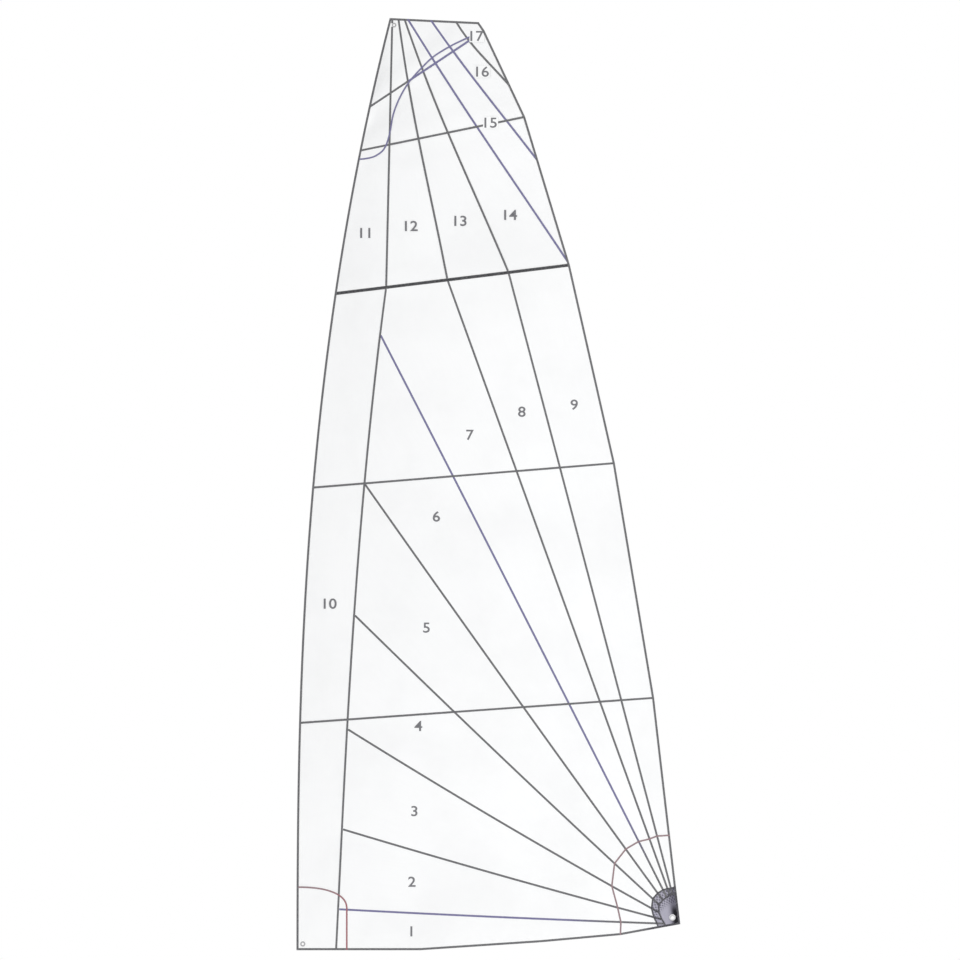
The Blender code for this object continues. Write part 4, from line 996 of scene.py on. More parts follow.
class MainsailTrim(bpy.types.PropertyGroup):
    """Tapes, seams and numbers."""

    seam_width: length_setting("Seam tape", "Width of the tape over each seam", 0.0145)
    cross_width: length_setting("Cross seam tape", "Width of the tape over the cross seam", 0.022)
    patch_width: length_setting("Patch tape", "Width of the tape round a patch", 0.0115)
    edge_width: length_setting("Edge tape", "Width of the folded edge tape", 0.0155)
    grey: colour_setting("Seam grey", "Colour of the seam tapes", srgb(92, 92, 94))
    black: colour_setting("Cross seam black", "Colour of the cross seam tape", srgb(46, 46, 48))
    blue: colour_setting("Seam blue", "Colour of the blue seam tapes", srgb(106, 103, 148))
    red: colour_setting("Patch red", "Colour of the tape up the tack patch", srgb(156, 84, 92))
    rust: colour_setting("Patch rust", "Colour of the tape round the clew patch", srgb(142, 112, 116))
    fan_edge: colour_setting("Clew black", "Colour of the tapes at the clew", srgb(40, 38, 46))
    number_height: length_setting("Number height", "Height of a panel number", 0.076)


class MainsailStage(bpy.types.PropertyGroup):
    """Light, floor and camera."""

    sky: bpy.props.FloatProperty(name="Sky", description="Strength of the even light", default=0.83, min=0)
    sun: bpy.props.FloatProperty(name="Lamp", description="Strength of the soft lamp", default=0.74, min=0)
    view_height: length_setting("View height", "Height that the camera takes in", 7.0024)


def cloth_settings():
    """Cloth settings of the scene."""
    return bpy.context.scene.mainsail_cloth


def trim_settings():
    """Trim settings of the scene."""
    return bpy.context.scene.mainsail_trim


def panel_cloth(number):
    """Sailcloth of one panel: every panel a tone apart, a painted sheen that stands for light falling differently
    on each panel's thread direction.
    """
    cloth = cloth_settings()
    # Painted sheen: the tone of this panel's copy of the cloth
    painted_sheen = 1.0 - 0.012 * (number * 7 % 4) / 3
    return sailcloth(f"sailcloth_{number % 4}", tuple(cloth.white), cloth.weave, cloth.wrinkle, painted_sheen)


# Tapes that fade: their colour, the one near a corner, the corner, and how far from it the change starts and ends
FADES = {
    "grey": ("grey", "fan_edge", CLEW, 0.20, 0.30),
    "blue_faded": ("blue", "grey", CLEW, 0.45, 0.95),
    "tack_red": ("rust", "red", (TACK_PATCH_REACH, 0.0), 0.33, 0.50),
}


def tape_finish(key, width):
    """Finish of a sewn tape: of one colour by its name, or one that fades. The grey is made in two widths, in
    tenths of a millimetre in its name."""
    trim = trim_settings()
    if key not in FADES:
        return stitched_tape(f"tape_{key}", tuple(getattr(trim, key)), width)
    colour, other, corner, near, far = FADES[key]
    name = f"tape_{key}_{round(width * 1e4)}" if key == "grey" else f"tape_{key}"
    fade = (tuple(getattr(trim, other)), (float(corner[0]), 0.0, float(corner[1])), near, far)
    return stitched_tape(name, tuple(getattr(trim, colour)), width, fade)


# Levels over the layers below
PATCH_SHAPES = (
    clew_fan(PATCH_REACH, PATCH_MARGIN), tack_patch_shape(PATCH_MARGIN), head_patch_shape(PATCH_MARGIN),
)
FAN_ROOM = clew_fan(FAN_REACH, PATCH_MARGIN)


def on_patch(points):
    """Which side-view points lie on a corner patch or close to its edge."""
    return np.any([inside(shape, points) for shape in PATCH_SHAPES], axis=0)


def port_level(points, layer):
    """Level of a thin layer on the port side: layer 0 lies on the cloth or on a patch, the next over it."""
    base = np.where(on_patch(points), PORT_PATCH, 0.0)
    base = np.where(inside(FAN_ROOM, points), PORT_FAN, base)
    return base - (TAPE + TAPE_GAP) * (layer + 1)


def starboard_level(points, top):
    """Level of a tape on the starboard side over cloth whose top is given, or over a patch."""
    base = np.where(on_patch(points), STARBOARD_PATCH + CLOTH, top)
    return np.where(inside(FAN_ROOM, points), STARBOARD_FAN + CLOTH, base) + TAPE_GAP


def lay_tape(name, line, width, material, layer=0, top=None):
    """Tape along a line: on the port side in a layer, or on the starboard side over a top level."""
    points, faces, marks = band_net(line, np.array((-width / 2, 0.0, width / 2)), TAPE_CELL)
    points = held_in(points, TAPE_ROOM)
    level = port_level(points, layer) if top is None else starboard_level(points, top)
    sew(name, points, faces, level, material, TAPE, marks)


# Panels
def held_in(points, room):
    """Points moved back inside the room left by the edge tapes, each to the nearest place on the room's rim."""
    out = ~inside(room, points)
    if out.any():
        run = np.roll(room, -1, axis=0) - room
        away = points[out][:, None] - room[None]
        share = np.clip((away * run).sum(axis=-1) / (run * run).sum(axis=-1), 0, 1)
        near = room[None] + run[None] * share[..., None]
        gap = np.linalg.norm(points[out][:, None] - near, axis=-1)
        points = points.copy()
        points[out] = near[np.arange(out.sum()), gap.argmin(axis=1)]
    return points


def sew_panel(number, points, faces):
    """Sews one panel at its own level."""
    node, level = f"panel_{number:02d}", PANEL_LEVELS[number - 1] * LAYER
    sew(f"cloth_{node}", points, faces, level, panel_cloth(number), nodes=(node,))


def gore_points(low, high, outer, inner, cell, breaks):
    """Net of a panel between its edges, with a row at every corner of its two sides."""
    return gore_net(low, high, outer, inner, cell, corner_shares(low) + corner_shares(high), breaks)


def lapped_seams(low, high, seams):
    """The two sides of a panel, each that is a seam lapped past the seam line, and the panel's middle."""
    centre = (low.mean(axis=0) + high.mean(axis=0)) / 2
    return [lapped(side, centre) if seam else side for side, seam in zip((low, high), seams)], centre


def cross_seam_line(start, end):
    """Part of the cross seam between two distances aft."""
    run, luff = BATTEN_RUN[UPPER], BATTEN_LUFF[UPPER]
    ends = luff + run * ((np.array((start, end)) - luff[0]) / run[0])[:, None]
    return straight(ends[0], ends[1])


def clew_panels():
    """Panels 1 to 9, from the luff's or the cross seam to the clew: each between the foot, a radial seam or the
    leech and the next of them. The end of panel 7 turns a corner where the luff's seam meets the cross seam."""
    foot, leech = edge_line("foot", PANEL_INSET), edge_line("leech", PANEL_INSET)
    sides = [part_of(foot, foot[:, 0], luff_seam(0.0)[0] - SEAM_LAP, CLEW[0] - TIP_REACH[0])]
    sides += [towards(seam, CLEW, reach) for seam, reach in zip(RADIAL_SEAMS, TIP_REACH[1:])]
    sides += [part_of(leech, leech[:, 1], CLEW[1] + TIP_REACH[-1], BATTEN_LEECH[UPPER, 1])[::-1]]
    for number, (low, high) in enumerate(zip(sides, sides[1:]), start=1):
        breaks = ()
        if number < 7:
            outer = luff_seam(np.linspace(low[0, 1], high[0, 1], 12 if number == 1 else 16))
        elif number == 7:
            luff = luff_seam(np.linspace(low[0, 1], JUNCTION[1], 12))
            outer = np.vstack((luff, cross_seam_line(JUNCTION[0], high[0, 0])[1:]))
            breaks = (shares_of(outer)[len(luff) - 1],)
        else:
            outer = cross_seam_line(low[0, 0], high[0, 0])
        inner = straight(low[-1], high[-1])
        (low, high), centre = lapped_seams(low, high, (number > 1, number < 9))
        sew_panel(number, *gore_points(low, high, lapped(outer, centre), inner, CLOTH_CELL, breaks))


def arc_to(start, end):
    """Arc about the head's luff end from one point to another."""
    first, last = (math.atan2(*(point - HEAD_LUFF)[::-1]) for point in (start, end))
    return HEAD_LUFF + HEAD_TIP * compass(np.linspace(first, last, 14))


def head_panels():
    """Panels 11 to 17, from the cross seam or the leech to the head: 11 to 14 end on an arc about the head's
    luff end, 15 on that arc and the head, 16 and 17 on the head."""
    luff = edge_line("luff", LUFF_INSET)[::-1]
    luff = part_of(luff, luff[:, 1], BATTEN_LUFF[UPPER, 1] - SEAM_LAP, LUFF_HEIGHT)
    leech = edge_line("leech", PANEL_INSET)
    head = edge_line("head", PANEL_INSET)[::-1]
    last = part_of(leech, leech[:, 1], HEAD_FEET[5][1] - SEAM_LAP, head[-1, 1])
    sides = [towards(line, HEAD_LUFF, HEAD_TIP) for line in (luff, *HEAD_LINES[:4])] + HEAD_LINES[4:] + [last]
    feet = [side[0, 0] for side in sides[:4]] + [sides[4][0, 0] - PANEL_INSET]
    tops = [HEAD_LUFF[0] + HEAD_TIP, *(side[-1, 0] for side in HEAD_LINES[4:]), head[-1, 0]]
    for number, (low, high) in enumerate(zip(sides, sides[1:]), start=11):
        (lapped_low, lapped_high), centre = lapped_seams(low, high, (number > 11, number < 17))
        if number < 15:
            foot = lapped(cross_seam_line(*feet[number - 11:number - 9]), centre)
            top = arc_to(low[-1], high[-1])
        else:
            foot = straight(low[0], high[0], 4)
            if number < 17:
                foot = part_of(leech, leech[:, 1], low[0, 1], high[0, 1])
            top = part_of(head, head[:, 0], *tops[number - 15:number - 13])
        breaks = corner_shares(foot)
        if number == 15:
            top = np.vstack((arc_to(low[-1], top[0]), top[1:]))
            breaks += corner_shares(top)
        points, faces = gore_points(lapped_low, lapped_high, foot, top, HEAD_CELL, breaks)
        sew_panel(number, held_in(points, PANEL_ROOM), faces)


def luff_panel():
    """Panel 10: between the luff and its seam from the foot to the cross seam, less the tack's round core."""
    luff = edge_line("luff", LUFF_INSET)[::-1]
    foot = edge_line("foot", PANEL_INSET)
    seam = luff_seam(np.linspace(0.0, JUNCTION[1], 90))
    seam[0, 1] = np.interp(seam[0, 0] + SEAM_LAP, foot[:, 0], foot[:, 1])
    arc = TACK_TIP * compass(np.linspace(math.pi / 2 - 0.02, -0.1, 24))
    forward = np.array((0.1, 2.0))
    high_side = lapped(seam, forward)
    low_side = part_of(luff, luff[:, 1], TACK_TIP, BATTEN_LUFF[UPPER, 1] + SEAM_LAP)
    foot = part_of(foot, foot[:, 0], TACK_TIP, high_side[0, 0])
    start = np.vstack((arc[arc[:, 1] > foot[0, 1]], foot))
    top = cross_seam_line(low_side[-1, 0], high_side[-1, 0]) + (0.0, SEAM_LAP)
    corner = shares_of(start)[len(start) - len(foot)]
    points, faces = gore_net(low_side, high_side, start, top, CLOTH_CELL, (), (corner,))
    sew_panel(10, held_in(points, PANEL_ROOM), faces)


def ring_spot(name):
    """Side-view centre of a ring."""
    return RING_SEATS[name][0][[0, 2]]


def ring_hole(name):
    """Radius of the hole in the cloth for a ring."""
    return RINGS[name][0] + RING_SLEEVE + HOLE_CLEAR


def collar(name, node, outlines, ring, level, material, rows, power):
    """Sews a corner piece round its ring's hole, its rows closer together there."""
    centre = ring_spot(ring)
    outline = common_outline(centre, outlines, COLLAR_CELL)
    points, faces = collar_net(outline, centre, ring_hole(ring), rows, power)
    sew(name, points, faces, level, material, nodes=(node,))


# Edge tapes
def folded_section(width, neck, outer, inner):
    """Section of a folded tape, as (distance in, level) round a closed loop: two legs that an outer curve joins
    at the neck, and the same a cloth's thickness inside it."""
    port, starboard = PORT_PATCH, STARBOARD_PATCH
    return np.vstack((
        (width, port), (neck, port), outer, (neck, starboard + CLOTH), (width, starboard + CLOTH),
        (width, starboard), (neck, starboard), inner, (neck, port + CLOTH), (width, port + CLOTH),
    ))


def flat_section(width):
    """Section of a tape folded round the cloth's edge: its curves are half ellipses."""
    turn = compass(np.linspace(-math.pi / 2, math.pi / 2, 9))
    tall = STARBOARD_PATCH + CLOTH - FOLD_MIDDLE
    outer = (FOLD_OUTER, FOLD_MIDDLE) + turn * (-FOLD_OUTER, tall)
    inner = (CLOTH + FOLD_INNER, FOLD_MIDDLE) + turn * (-FOLD_INNER, tall - CLOTH)
    return folded_section(width, width / 2, outer, inner[::-1])


def luff_section(width):
    """Section of the luff tape: its curves are circles round the bolt rope."""
    room = ROPE_RADIUS + ROPE_ROOM
    turn = compass(np.radians(np.linspace(-25.0, -335.0, 25)))
    outer, inner = ((ROPE_CENTRE, FOLD_MIDDLE) + turn * radius for radius in (room + CLOTH, room))
    return folded_section(width, ROPE_CENTRE + room + FOLD_NECK, outer, inner[::-1])


def swept(name, paths, levels, across):
    """Closed tube: a section's points each follow their own side-view path at their own level, and the ends
    are closed by strips between the section's two halves. Also gives its vertices by station and path."""
    grid = np.transpose(paths, (1, 0, 2))
    sections, columns = grid.shape[:2]
    vertices = raised(grid, sheet(grid) + levels)
    near = np.arange(columns // 2 - 1)
    strip = np.stack((near, near + 1, columns - 2 - near, columns - 1 - near), axis=-1)
    ends = np.concatenate((strip[:, ::-1], strip + (sections - 1) * columns))
    faces = [grid_faces(sections, columns, closed=True), ends]
    marks = net_marks(runs_of(grid[:, 0]), across)
    return make_mesh(name, vertices.reshape(-1, 3), faces, marks, crease=50.0), vertices


def turned_out(mesh):
    """Turns the faces of a closed mesh outwards if its volume comes out negative."""
    mesh.calc_loop_triangles()
    corners = np.empty(len(mesh.loop_triangles) * 3, np.int32)
    mesh.loop_triangles.foreach_get("vertices", corners)
    a, b, c = np.transpose(spots_of(mesh)[corners.reshape(-1, 3)], (1, 0, 2))
    if (a * np.cross(b, c)).sum() < 0:
        mesh.flip_normals()
    return mesh


def fold_tape(side, section, material):
    """Folded tape along one side of the sail, its ends mitred with its neighbours'."""
    paths = np.stack([edge_line(side, distance) for distance in section[:, 0]])
    paths[:, 0] += unit(paths[:, 1] - paths[:, 0]) * MITRE_GAP
    paths[:, -1] += unit(paths[:, -2] - paths[:, -1]) * MITRE_GAP
    across = section[:, 0] - section[:, 0].max() / 2
    mesh, vertices = swept(f"folded_{side}_tape", paths, section[:, 1], across)
    piece = add_piece(mesh.name, turned_out(mesh), material)
    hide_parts(f"{side}_tape")


def laid_rope(material):
    """Bolt rope: a circle with three lobes that turn once in a pitch, carried up the luff inside its tape."""
    path = edge_line("luff", ROPE_CENTRE)[::-1]
    length = length_of(path)
    spots = np.linspace(ROPE_END / length, 1 - ROPE_END / length, ROPE_STATIONS)
    path = along_line(path, spots)
    run = spots * length
    turn = np.linspace(0.0, 2 * math.pi, ROPE_SIDES, endpoint=False)
    lobe = np.abs(np.cos(1.5 * (turn - 2 * math.pi * run[:, None] / ROPE_PITCH)))
    radius = ROPE_RADIUS * (1 - ROPE_GROOVE + ROPE_GROOVE * lobe)
    flat = path[:, None] + normals_of(path)[:, None] * (radius * np.cos(turn))[..., None]
    vertices = raised(flat, sheet(flat) + FOLD_MIDDLE + radius * np.sin(turn))
    ends = vertices[[0, -1]].mean(axis=1)
    count, columns = vertices.shape[:2]
    marks = np.concatenate((net_marks(run, turn * ROPE_RADIUS), np.zeros((2, 2))))
    number = np.arange(columns)
    following = (number + 1) % columns
    base = (count - 1) * columns
    foot = np.stack((following, number, np.full(columns, count * columns)), axis=-1)
    top = np.stack((base + number, base + following, np.full(columns, count * columns + 1)), axis=-1)
    faces = [grid_faces(count, columns, closed=True), foot, top]
    mesh = make_mesh("laid_bolt_rope", np.concatenate((vertices.reshape(-1, 3), ends)), faces, marks, 60.0)
    piece = add_piece(mesh.name, turned_out(mesh), material)
    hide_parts("bolt_rope")


# Pockets
def row_of(number):
    """Start, direction, length and steepness of a batten's line."""
    run = BATTEN_RUN[number]
    length = float(np.linalg.norm(run))
    camber, twist = BATTENS[number, 3:]
    step = 1e-4
    rise = arc_offset(np.array((0.0, step, length - step, length)), length, camber, twist)
    slope = np.abs(np.diff(rise)[[0, 2]] / step).max()
    return BATTEN_LUFF[number], run / length, length, math.hypot(1.0, slope)


def pocket_ends(number):
    """Where a pocket starts and ends along its batten's line, clear of the luff and leech tapes."""
    start, along, length, _ = row_of(number)

    def clear(tangent):
        tangent = unit(tangent)
        return (POCKET_CLEAR + POCKET_EDGE * abs(tangent @ along)) / abs(tangent @ left_of(along))

    luff = luff_points(start[1] + POCKET_EDGE) - luff_points(start[1] - POCKET_EDGE)
    leech = np.diff(LEECH_CORNERS[number:number + 3], axis=0)
    return clear(luff), length - max(clear(tangent) for tangent in leech)


def sew_pocket(number, material):
    """Batten pocket: flat where it is sewn down at its sides and luff end, raised over the batten by a smooth
    step across its flanks and up its ramp."""
    start, along, _, steep = row_of(number)
    first, last = pocket_ends(number)
    base = POCKET_LEVELS[number] * LAYER
    middle = STARBOARD_PATCH + CLOTH + TUNNEL_GAP + CAP_DEPTH / 2 * steep
    rise = middle + CAP_DEPTH / 2 * steep + 4 * TUNNEL_GAP - base
    sides = POCKET_HALF + POCKET_SLOPE
    flank = POCKET_HALF + POCKET_SLOPE * np.linspace(0.0, 1.0, 7)
    half = np.concatenate((flank, (flank[-1] + POCKET_FLANGE / 2, POCKET_EDGE)))
    t = np.concatenate((-half[::-1], np.linspace(-POCKET_HALF, POCKET_HALF, 5)[1:-1], half))
    ramp = first + POCKET_FLANGE + POCKET_RAMP * np.linspace(0.0, 1.0, 13)
    s = np.unique(np.concatenate(((first,), ramp, np.linspace(ramp[-1], last, int((last - ramp[-1]) / 0.03)))))
    net = start + s[:, None, None] * along + t[None, :, None] * left_of(along)
    lift = smooth((s - ramp[0]) / POCKET_RAMP)[:, None] * smooth((sides - np.abs(t)) / POCKET_SLOPE)
    node, level = f"pocket_{BATTEN_NAMES[number]}", (base + rise * lift).ravel()
    sew(f"sewn_{node}", net.reshape(-1, 2), grid_faces(len(s), len(t)), level, material,
        marks=net_marks(s, t), nodes=(node,))


# Rings
def turned_ring(name, profile, seat, material, node):
    """Ring half: a closed profile of (radius, height) turned in steps about the ring's axis."""
    centre, normal = seat
    first = unit(np.cross(normal, (0.0, 0.0, 1.0)))
    second = np.cross(normal, first)
    turn = np.linspace(0.0, 2 * math.pi, RING_STEPS, endpoint=False)[:, None, None]
    radius, height = profile[None, :, :1], profile[None, :, 1:]
    vertices = centre + radius * (np.cos(turn) * first + np.sin(turn) * second) + height * normal
    faces = grid_faces(RING_STEPS + 1, len(profile), closed=True) % (RING_STEPS * len(profile))
    mesh = make_mesh(name, vertices.reshape(-1, 3), [faces], crease=35.0)
    piece = add_piece(name, turned_out(mesh), material)
    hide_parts(node)


def quarter(centre, radius, start, end, count=5):
    """Arc of a profile, from one angle to another in degrees."""
    return centre + radius * compass(np.radians(np.linspace(start, end, count)))


def press_ring(name, material):
    """Both halves of a ring, with rounded flange edges and a rolled rim."""
    bore, flange, port, starboard = RINGS[name]
    seat = RING_SEATS[name]
    low = port * seat[1][1] - RING_GAP
    high = (starboard + CLOTH) * seat[1][1] + RING_GAP
    sleeve = bore + RING_SLEEVE
    rim = high + RING_FLANGE + RING_GAP
    soft, roll = RING_CHAMFER, (RING_SLEEVE + RING_LIP) / 2
    eyelet = np.vstack((
        quarter((bore + soft, low - RING_FLANGE + soft), soft, 180, 270),
        quarter((flange - soft, low - RING_FLANGE + soft), soft, 270, 360),
        (flange, low), (sleeve, low), (sleeve, rim), (sleeve + RING_LIP, rim),
        quarter((bore + roll, rim), roll, 20, 180, 9),
    ))
    washer = np.vstack((
        (sleeve + RING_GAP, high), (flange, high),
        quarter((flange - soft, high + RING_FLANGE - soft), soft, 0, 90),
        (sleeve + RING_GAP, high + RING_FLANGE),
    ))
    turned_ring(f"pressed_{name}_eyelet", eyelet, seat, material, f"{name}_ring_eyelet")
    turned_ring(f"pressed_{name}_washer", washer, seat, material, f"{name}_ring_washer")


# Numbers: place aft and up
NUMBERS = {
    1: (0.838, 0.138), 2: (0.842, 0.500), 3: (0.860, 1.015), 4: (0.889, 1.636), 5: (0.948, 2.353),
    6: (1.021, 3.164), 7: (1.266, 3.759), 8: (1.644, 3.928), 9: (2.026, 3.979), 10: (0.246, 2.528),
    11: (0.502, 5.232), 12: (0.838, 5.283), 13: (1.196, 5.320), 14: (1.562, 5.364), 15: (1.416, 6.036),
    16: (1.357, 6.409), 17: (1.317, 6.668),
}
# Numbers with a white square behind them that masks the seams, and the layers of the square and the figures
MASKED = (15, 16, 17)
FIGURE_LAYER, SQUARE_LAYER, MASKED_LAYER = 1.5, 2.5, 3.5
SQUARE_HALF, SQUARE_INSET, SQUARE_CELL = (0.055, 0.045), 0.017, 0.01
SQUARE_HOLE, SQUARE_ROWS, SQUARE_THICKNESS = 0.002, 6, 0.00008
# Figures: share of the type's size that they are tall, half thickness, swell, cell, stretch and least edge
FIGURE_SHARE, FIGURE_HALF, FIGURE_SWELL = 0.73, 0.00006, 0.0012
FIGURE_CELL, FIGURE_STRETCH, WELD = 0.010, 1.14, 0.00001


def cut_across(mesh, step):
    """Welds a flat mesh and cuts it by a lattice of planes a step apart, so that it can follow a curved cloth."""
    work = bmesh.new()
    work.from_mesh(mesh)
    bmesh.ops.remove_doubles(work, verts=work.verts, dist=WELD)
    for axis, normal in enumerate((Vector((1.0, 0.0, 0.0)), Vector((0.0, 1.0, 0.0)))):
        spots = [vertex.co[axis] for vertex in work.verts]
        for place in np.arange(min(spots) + step, max(spots), step):
            geometry = [*work.verts, *work.edges, *work.faces]
            bmesh.ops.bisect_plane(work, geom=geometry, dist=WELD, plane_co=normal * float(place), plane_no=normal)
    bmesh.ops.dissolve_degenerate(work, edges=work.edges, dist=WELD)
    bmesh.ops.recalc_face_normals(work, faces=work.faces)
    work.to_mesh(mesh)
    work.free()


def number_square(number, middle, material):
    """Thin white square behind a number, kept clear of the edge tapes, its middle closed by triangles."""
    square = np.array(((-1, -1), (1, -1), (1, 1), (-1, 1))) * SQUARE_HALF + middle
    outline = common_outline(middle, (square, drawn_in(SQUARE_INSET)), SQUARE_CELL)
    points, quads = collar_net(outline, middle, SQUARE_HOLE, SQUARE_ROWS, 1.0)
    points = np.vstack((points, middle))
    count, spokes = len(points), len(outline)
    here = np.arange(spokes)
    following = (here + 1) % spokes
    fill = np.stack((here, following, np.full(spokes, count - 1)), axis=-1)
    rim = np.stack((following, here, here + count, following + count), axis=-1) + count - 1 - spokes
    port = raised(points, sheet(points) + port_level(points, SQUARE_LAYER).min())
    solid = np.concatenate((port, port + (0.0, SQUARE_THICKNESS, 0.0)))
    faces = [quads[:, ::-1], quads + count, fill, fill[:, ::-1] + count, rim]
    mesh = make_mesh(f"number_square_{number}", solid, faces, np.concatenate((points, points)))
    add_piece(mesh.name, turned_out(mesh), material)


def print_number(number, middle, height, material):
    """Panel number on the port side: flat figures a hair thick that follow the cloth."""
    curve = bpy.data.curves.new(f"figures_{number}", "FONT")
    curve.body = str(number)
    curve.size = height / FIGURE_SHARE
    curve.extrude = FIGURE_HALF
    curve.offset = FIGURE_SWELL
    curve.resolution_u = 8
    curve.align_x = "CENTER"
    text = bpy.data.objects.new(curve.name, curve)
    bpy.context.collection.objects.link(text)
    mesh = bpy.data.meshes.new_from_object(text.evaluated_get(bpy.context.evaluated_depsgraph_get()))
    bpy.data.objects.remove(text)
    cut_across(mesh, FIGURE_CELL)
    spots = spots_of(mesh)
    flat = spots[:, :2] - (spots[:, :2].max(axis=0) + spots[:, :2].min(axis=0)) / 2
    flat = flat * (FIGURE_STRETCH, 1.0) + middle
    level = port_level(flat, MASKED_LAYER if number in MASKED else FIGURE_LAYER).min()
    mesh.vertices.foreach_set("co", raised(flat, sheet(flat) + level - spots[:, 2]).ravel())
    mesh.name = f"panel_number_{number}"
    mesh.materials.clear()
    mesh.update()
    add_piece(mesh.name, mesh, material)


# Operators
class MAINSAIL_OT_clew_panels(bpy.types.Operator):
    """Sew panels 1 to 9, the gores that run to the clew"""

    bl_idname = "mainsail.clew_panels"
    bl_label = "Clew panels"

    def execute(self, context):
        clew_panels()
        return {"FINISHED"}


class MAINSAIL_OT_luff_panel(bpy.types.Operator):
    """Sew panel 10 along the luff"""

    bl_idname = "mainsail.luff_panel"
    bl_label = "Luff panel"

    def execute(self, context):
        luff_panel()
        return {"FINISHED"}


class MAINSAIL_OT_head_panels(bpy.types.Operator):
    """Sew panels 11 to 17, the gores that run to the head"""

    bl_idname = "mainsail.head_panels"
    bl_label = "Head panels"

    def execute(self, context):
        head_panels()
        return {"FINISHED"}


class MAINSAIL_OT_cores(bpy.types.Operator):
    """Sew the round cores at the tack, clew and head"""

    bl_idname = "mainsail.cores"
    bl_label = "Corner cores"

    def execute(self, context):
        cores = {
            "clew": (clew_fan(TIP_REACH, CORE_LAP), 2),
            "head": (disc(HEAD_LUFF, HEAD_TIP + CORE_LAP), 0),
            "tack": (disc(TACK, TACK_TIP + CORE_LAP), 1),
        }
        for name, (shape, layer) in cores.items():
            node, outlines = f"{name}_core", (shape, PANEL_ROOM)
            collar(f"cloth_{node}", node, outlines, name, layer * LAYER, panel_cloth(2), 22, 1.6)
        return {"FINISHED"}


class MAINSAIL_OT_patches(bpy.types.Operator):
    """Sew the corner patches and the clew's fans on both sides"""

    bl_idname = "mainsail.patches"
    bl_label = "Corner patches"

    def execute(self, context):
        room = drawn_in(trim_settings().edge_width + PATCH_GAP)
        settings = cloth_settings()
        cloth = sailcloth("patch_cloth", tuple(settings.patch), settings.weave * 1.4, settings.wrinkle * 0.6)
        fan = fan_cloth(srgb(166, 164, 178), srgb(74, 72, 86), srgb(10, 8, 18))
        patch, high = (PORT_PATCH, STARBOARD_PATCH), (PORT_FAN, STARBOARD_FAN)
        shapes = {
            "clew_patch": (clew_fan(PATCH_REACH), patch, cloth, 64),
            "clew_fan": (clew_fan(FAN_REACH), high, fan, 64),
            "tack_patch": (tack_patch_shape(), patch, cloth, 64),
            "head_patch": (head_patch_shape(), patch, cloth, 112),
        }
        for name, (shape, levels, finish, rows) in shapes.items():
            ring = name.split("_")[0]
            for side, level in zip(("port", "starboard"), levels):
                node = f"{name}_{side}"
                collar(f"sewn_{node}", node, (shape, room), ring, level, finish, rows, 1.3)
        return {"FINISHED"}


class MAINSAIL_OT_edge_tapes(bpy.types.Operator):
    """Fold the edge tapes round the luff, leech, foot and head"""

    bl_idname = "mainsail.edge_tapes"
    bl_label = "Edge tapes"

    def execute(self, context):
        width = trim_settings().edge_width
        material = tape_finish("grey", width)
        for side in ("leech", "foot", "head"):
            fold_tape(side, flat_section(width), material)
        fold_tape("luff", luff_section(width), material)
        return {"FINISHED"}


class MAINSAIL_OT_bolt_rope(bpy.types.Operator):
    """Lay the bolt rope inside the luff tape"""

    bl_idname = "mainsail.bolt_rope"
    bl_label = "Bolt rope"

    def execute(self, context):
        laid_rope(rope_fibre((0.75, 0.74, 0.70)))
        return {"FINISHED"}


# Points of a line that is searched for its free runs
RUN_POINTS = 2400


def seam_list():
    """Every taped seam: its name, line, colour, and the top of the cloth under it on the starboard side."""
    clear = trim_settings().seam_width * 0.6
    seams = []
    for number, seam in enumerate(RADIAL_SEAMS, start=1):
        line = towards(seam, CLEW, TIP_REACH[number], clear)
        seams.append((f"seam_{number}_{number + 1}", line, "blue_faded" if number in (1, 6) else "grey", LAYER))
    luff = luff_seam(np.linspace(0.0, JUNCTION[1] - SEAM_START, 120))
    seams.append(("seam_luff_panel", luff, "grey", 2 * LAYER))
    for number, line in enumerate(HEAD_LINES, start=11):
        line = part_of(line, line[:, 1], line[0, 1] + SEAM_START, line[-1, 1])
        seams.append((f"seam_{number}_{number + 1}", line, "blue" if number in (14, 15) else "grey", 3 * LAYER))
    return seams


def free_runs(line, width):
    """The parts of a line that lie inside the edge tapes' fold and clear of the rings' holes."""
    dense = along_line(line, np.linspace(0.0, 1.0, RUN_POINTS))
    keep = inside(TAPE_ROOM, dense)
    for name in RINGS:
        keep &= np.linalg.norm(dense - ring_spot(name), axis=1) > ring_hole(name) + width / 2
    cuts = np.flatnonzero(np.diff(keep.astype(int))) + 1
    runs = [run for run, kept in zip(np.split(dense, cuts), np.split(keep, cuts)) if kept[0]]
    return [run for run in runs if length_of(run) > width]


def lay_tapes(name, line, width, material, **named):
    """Tape along every free run of a line."""
    for number, run in enumerate(free_runs(line, width)):
        lay_tape(name if number == 0 else f"{name}_{number + 1}", run, width, material, **named)


def lay_both(name, line, width, material, layer, top):
    """Tape along a line on both sides of the sail."""
    lay_tapes(f"{name}_port", line, width, material, layer=layer)
    lay_tapes(f"{name}_starboard", line, width, material, top=top)


class MAINSAIL_OT_seam_tapes(bpy.types.Operator):
    """Tape the seams between the panels on both sides"""

    bl_idname = "mainsail.seam_tapes"
    bl_label = "Seam tapes"

    def execute(self, context):
        width = trim_settings().seam_width
        for name, line, colour, level in seam_list():
            lay_both(name, line, width, tape_finish(colour, width), 0, level + CLOTH)
        return {"FINISHED"}


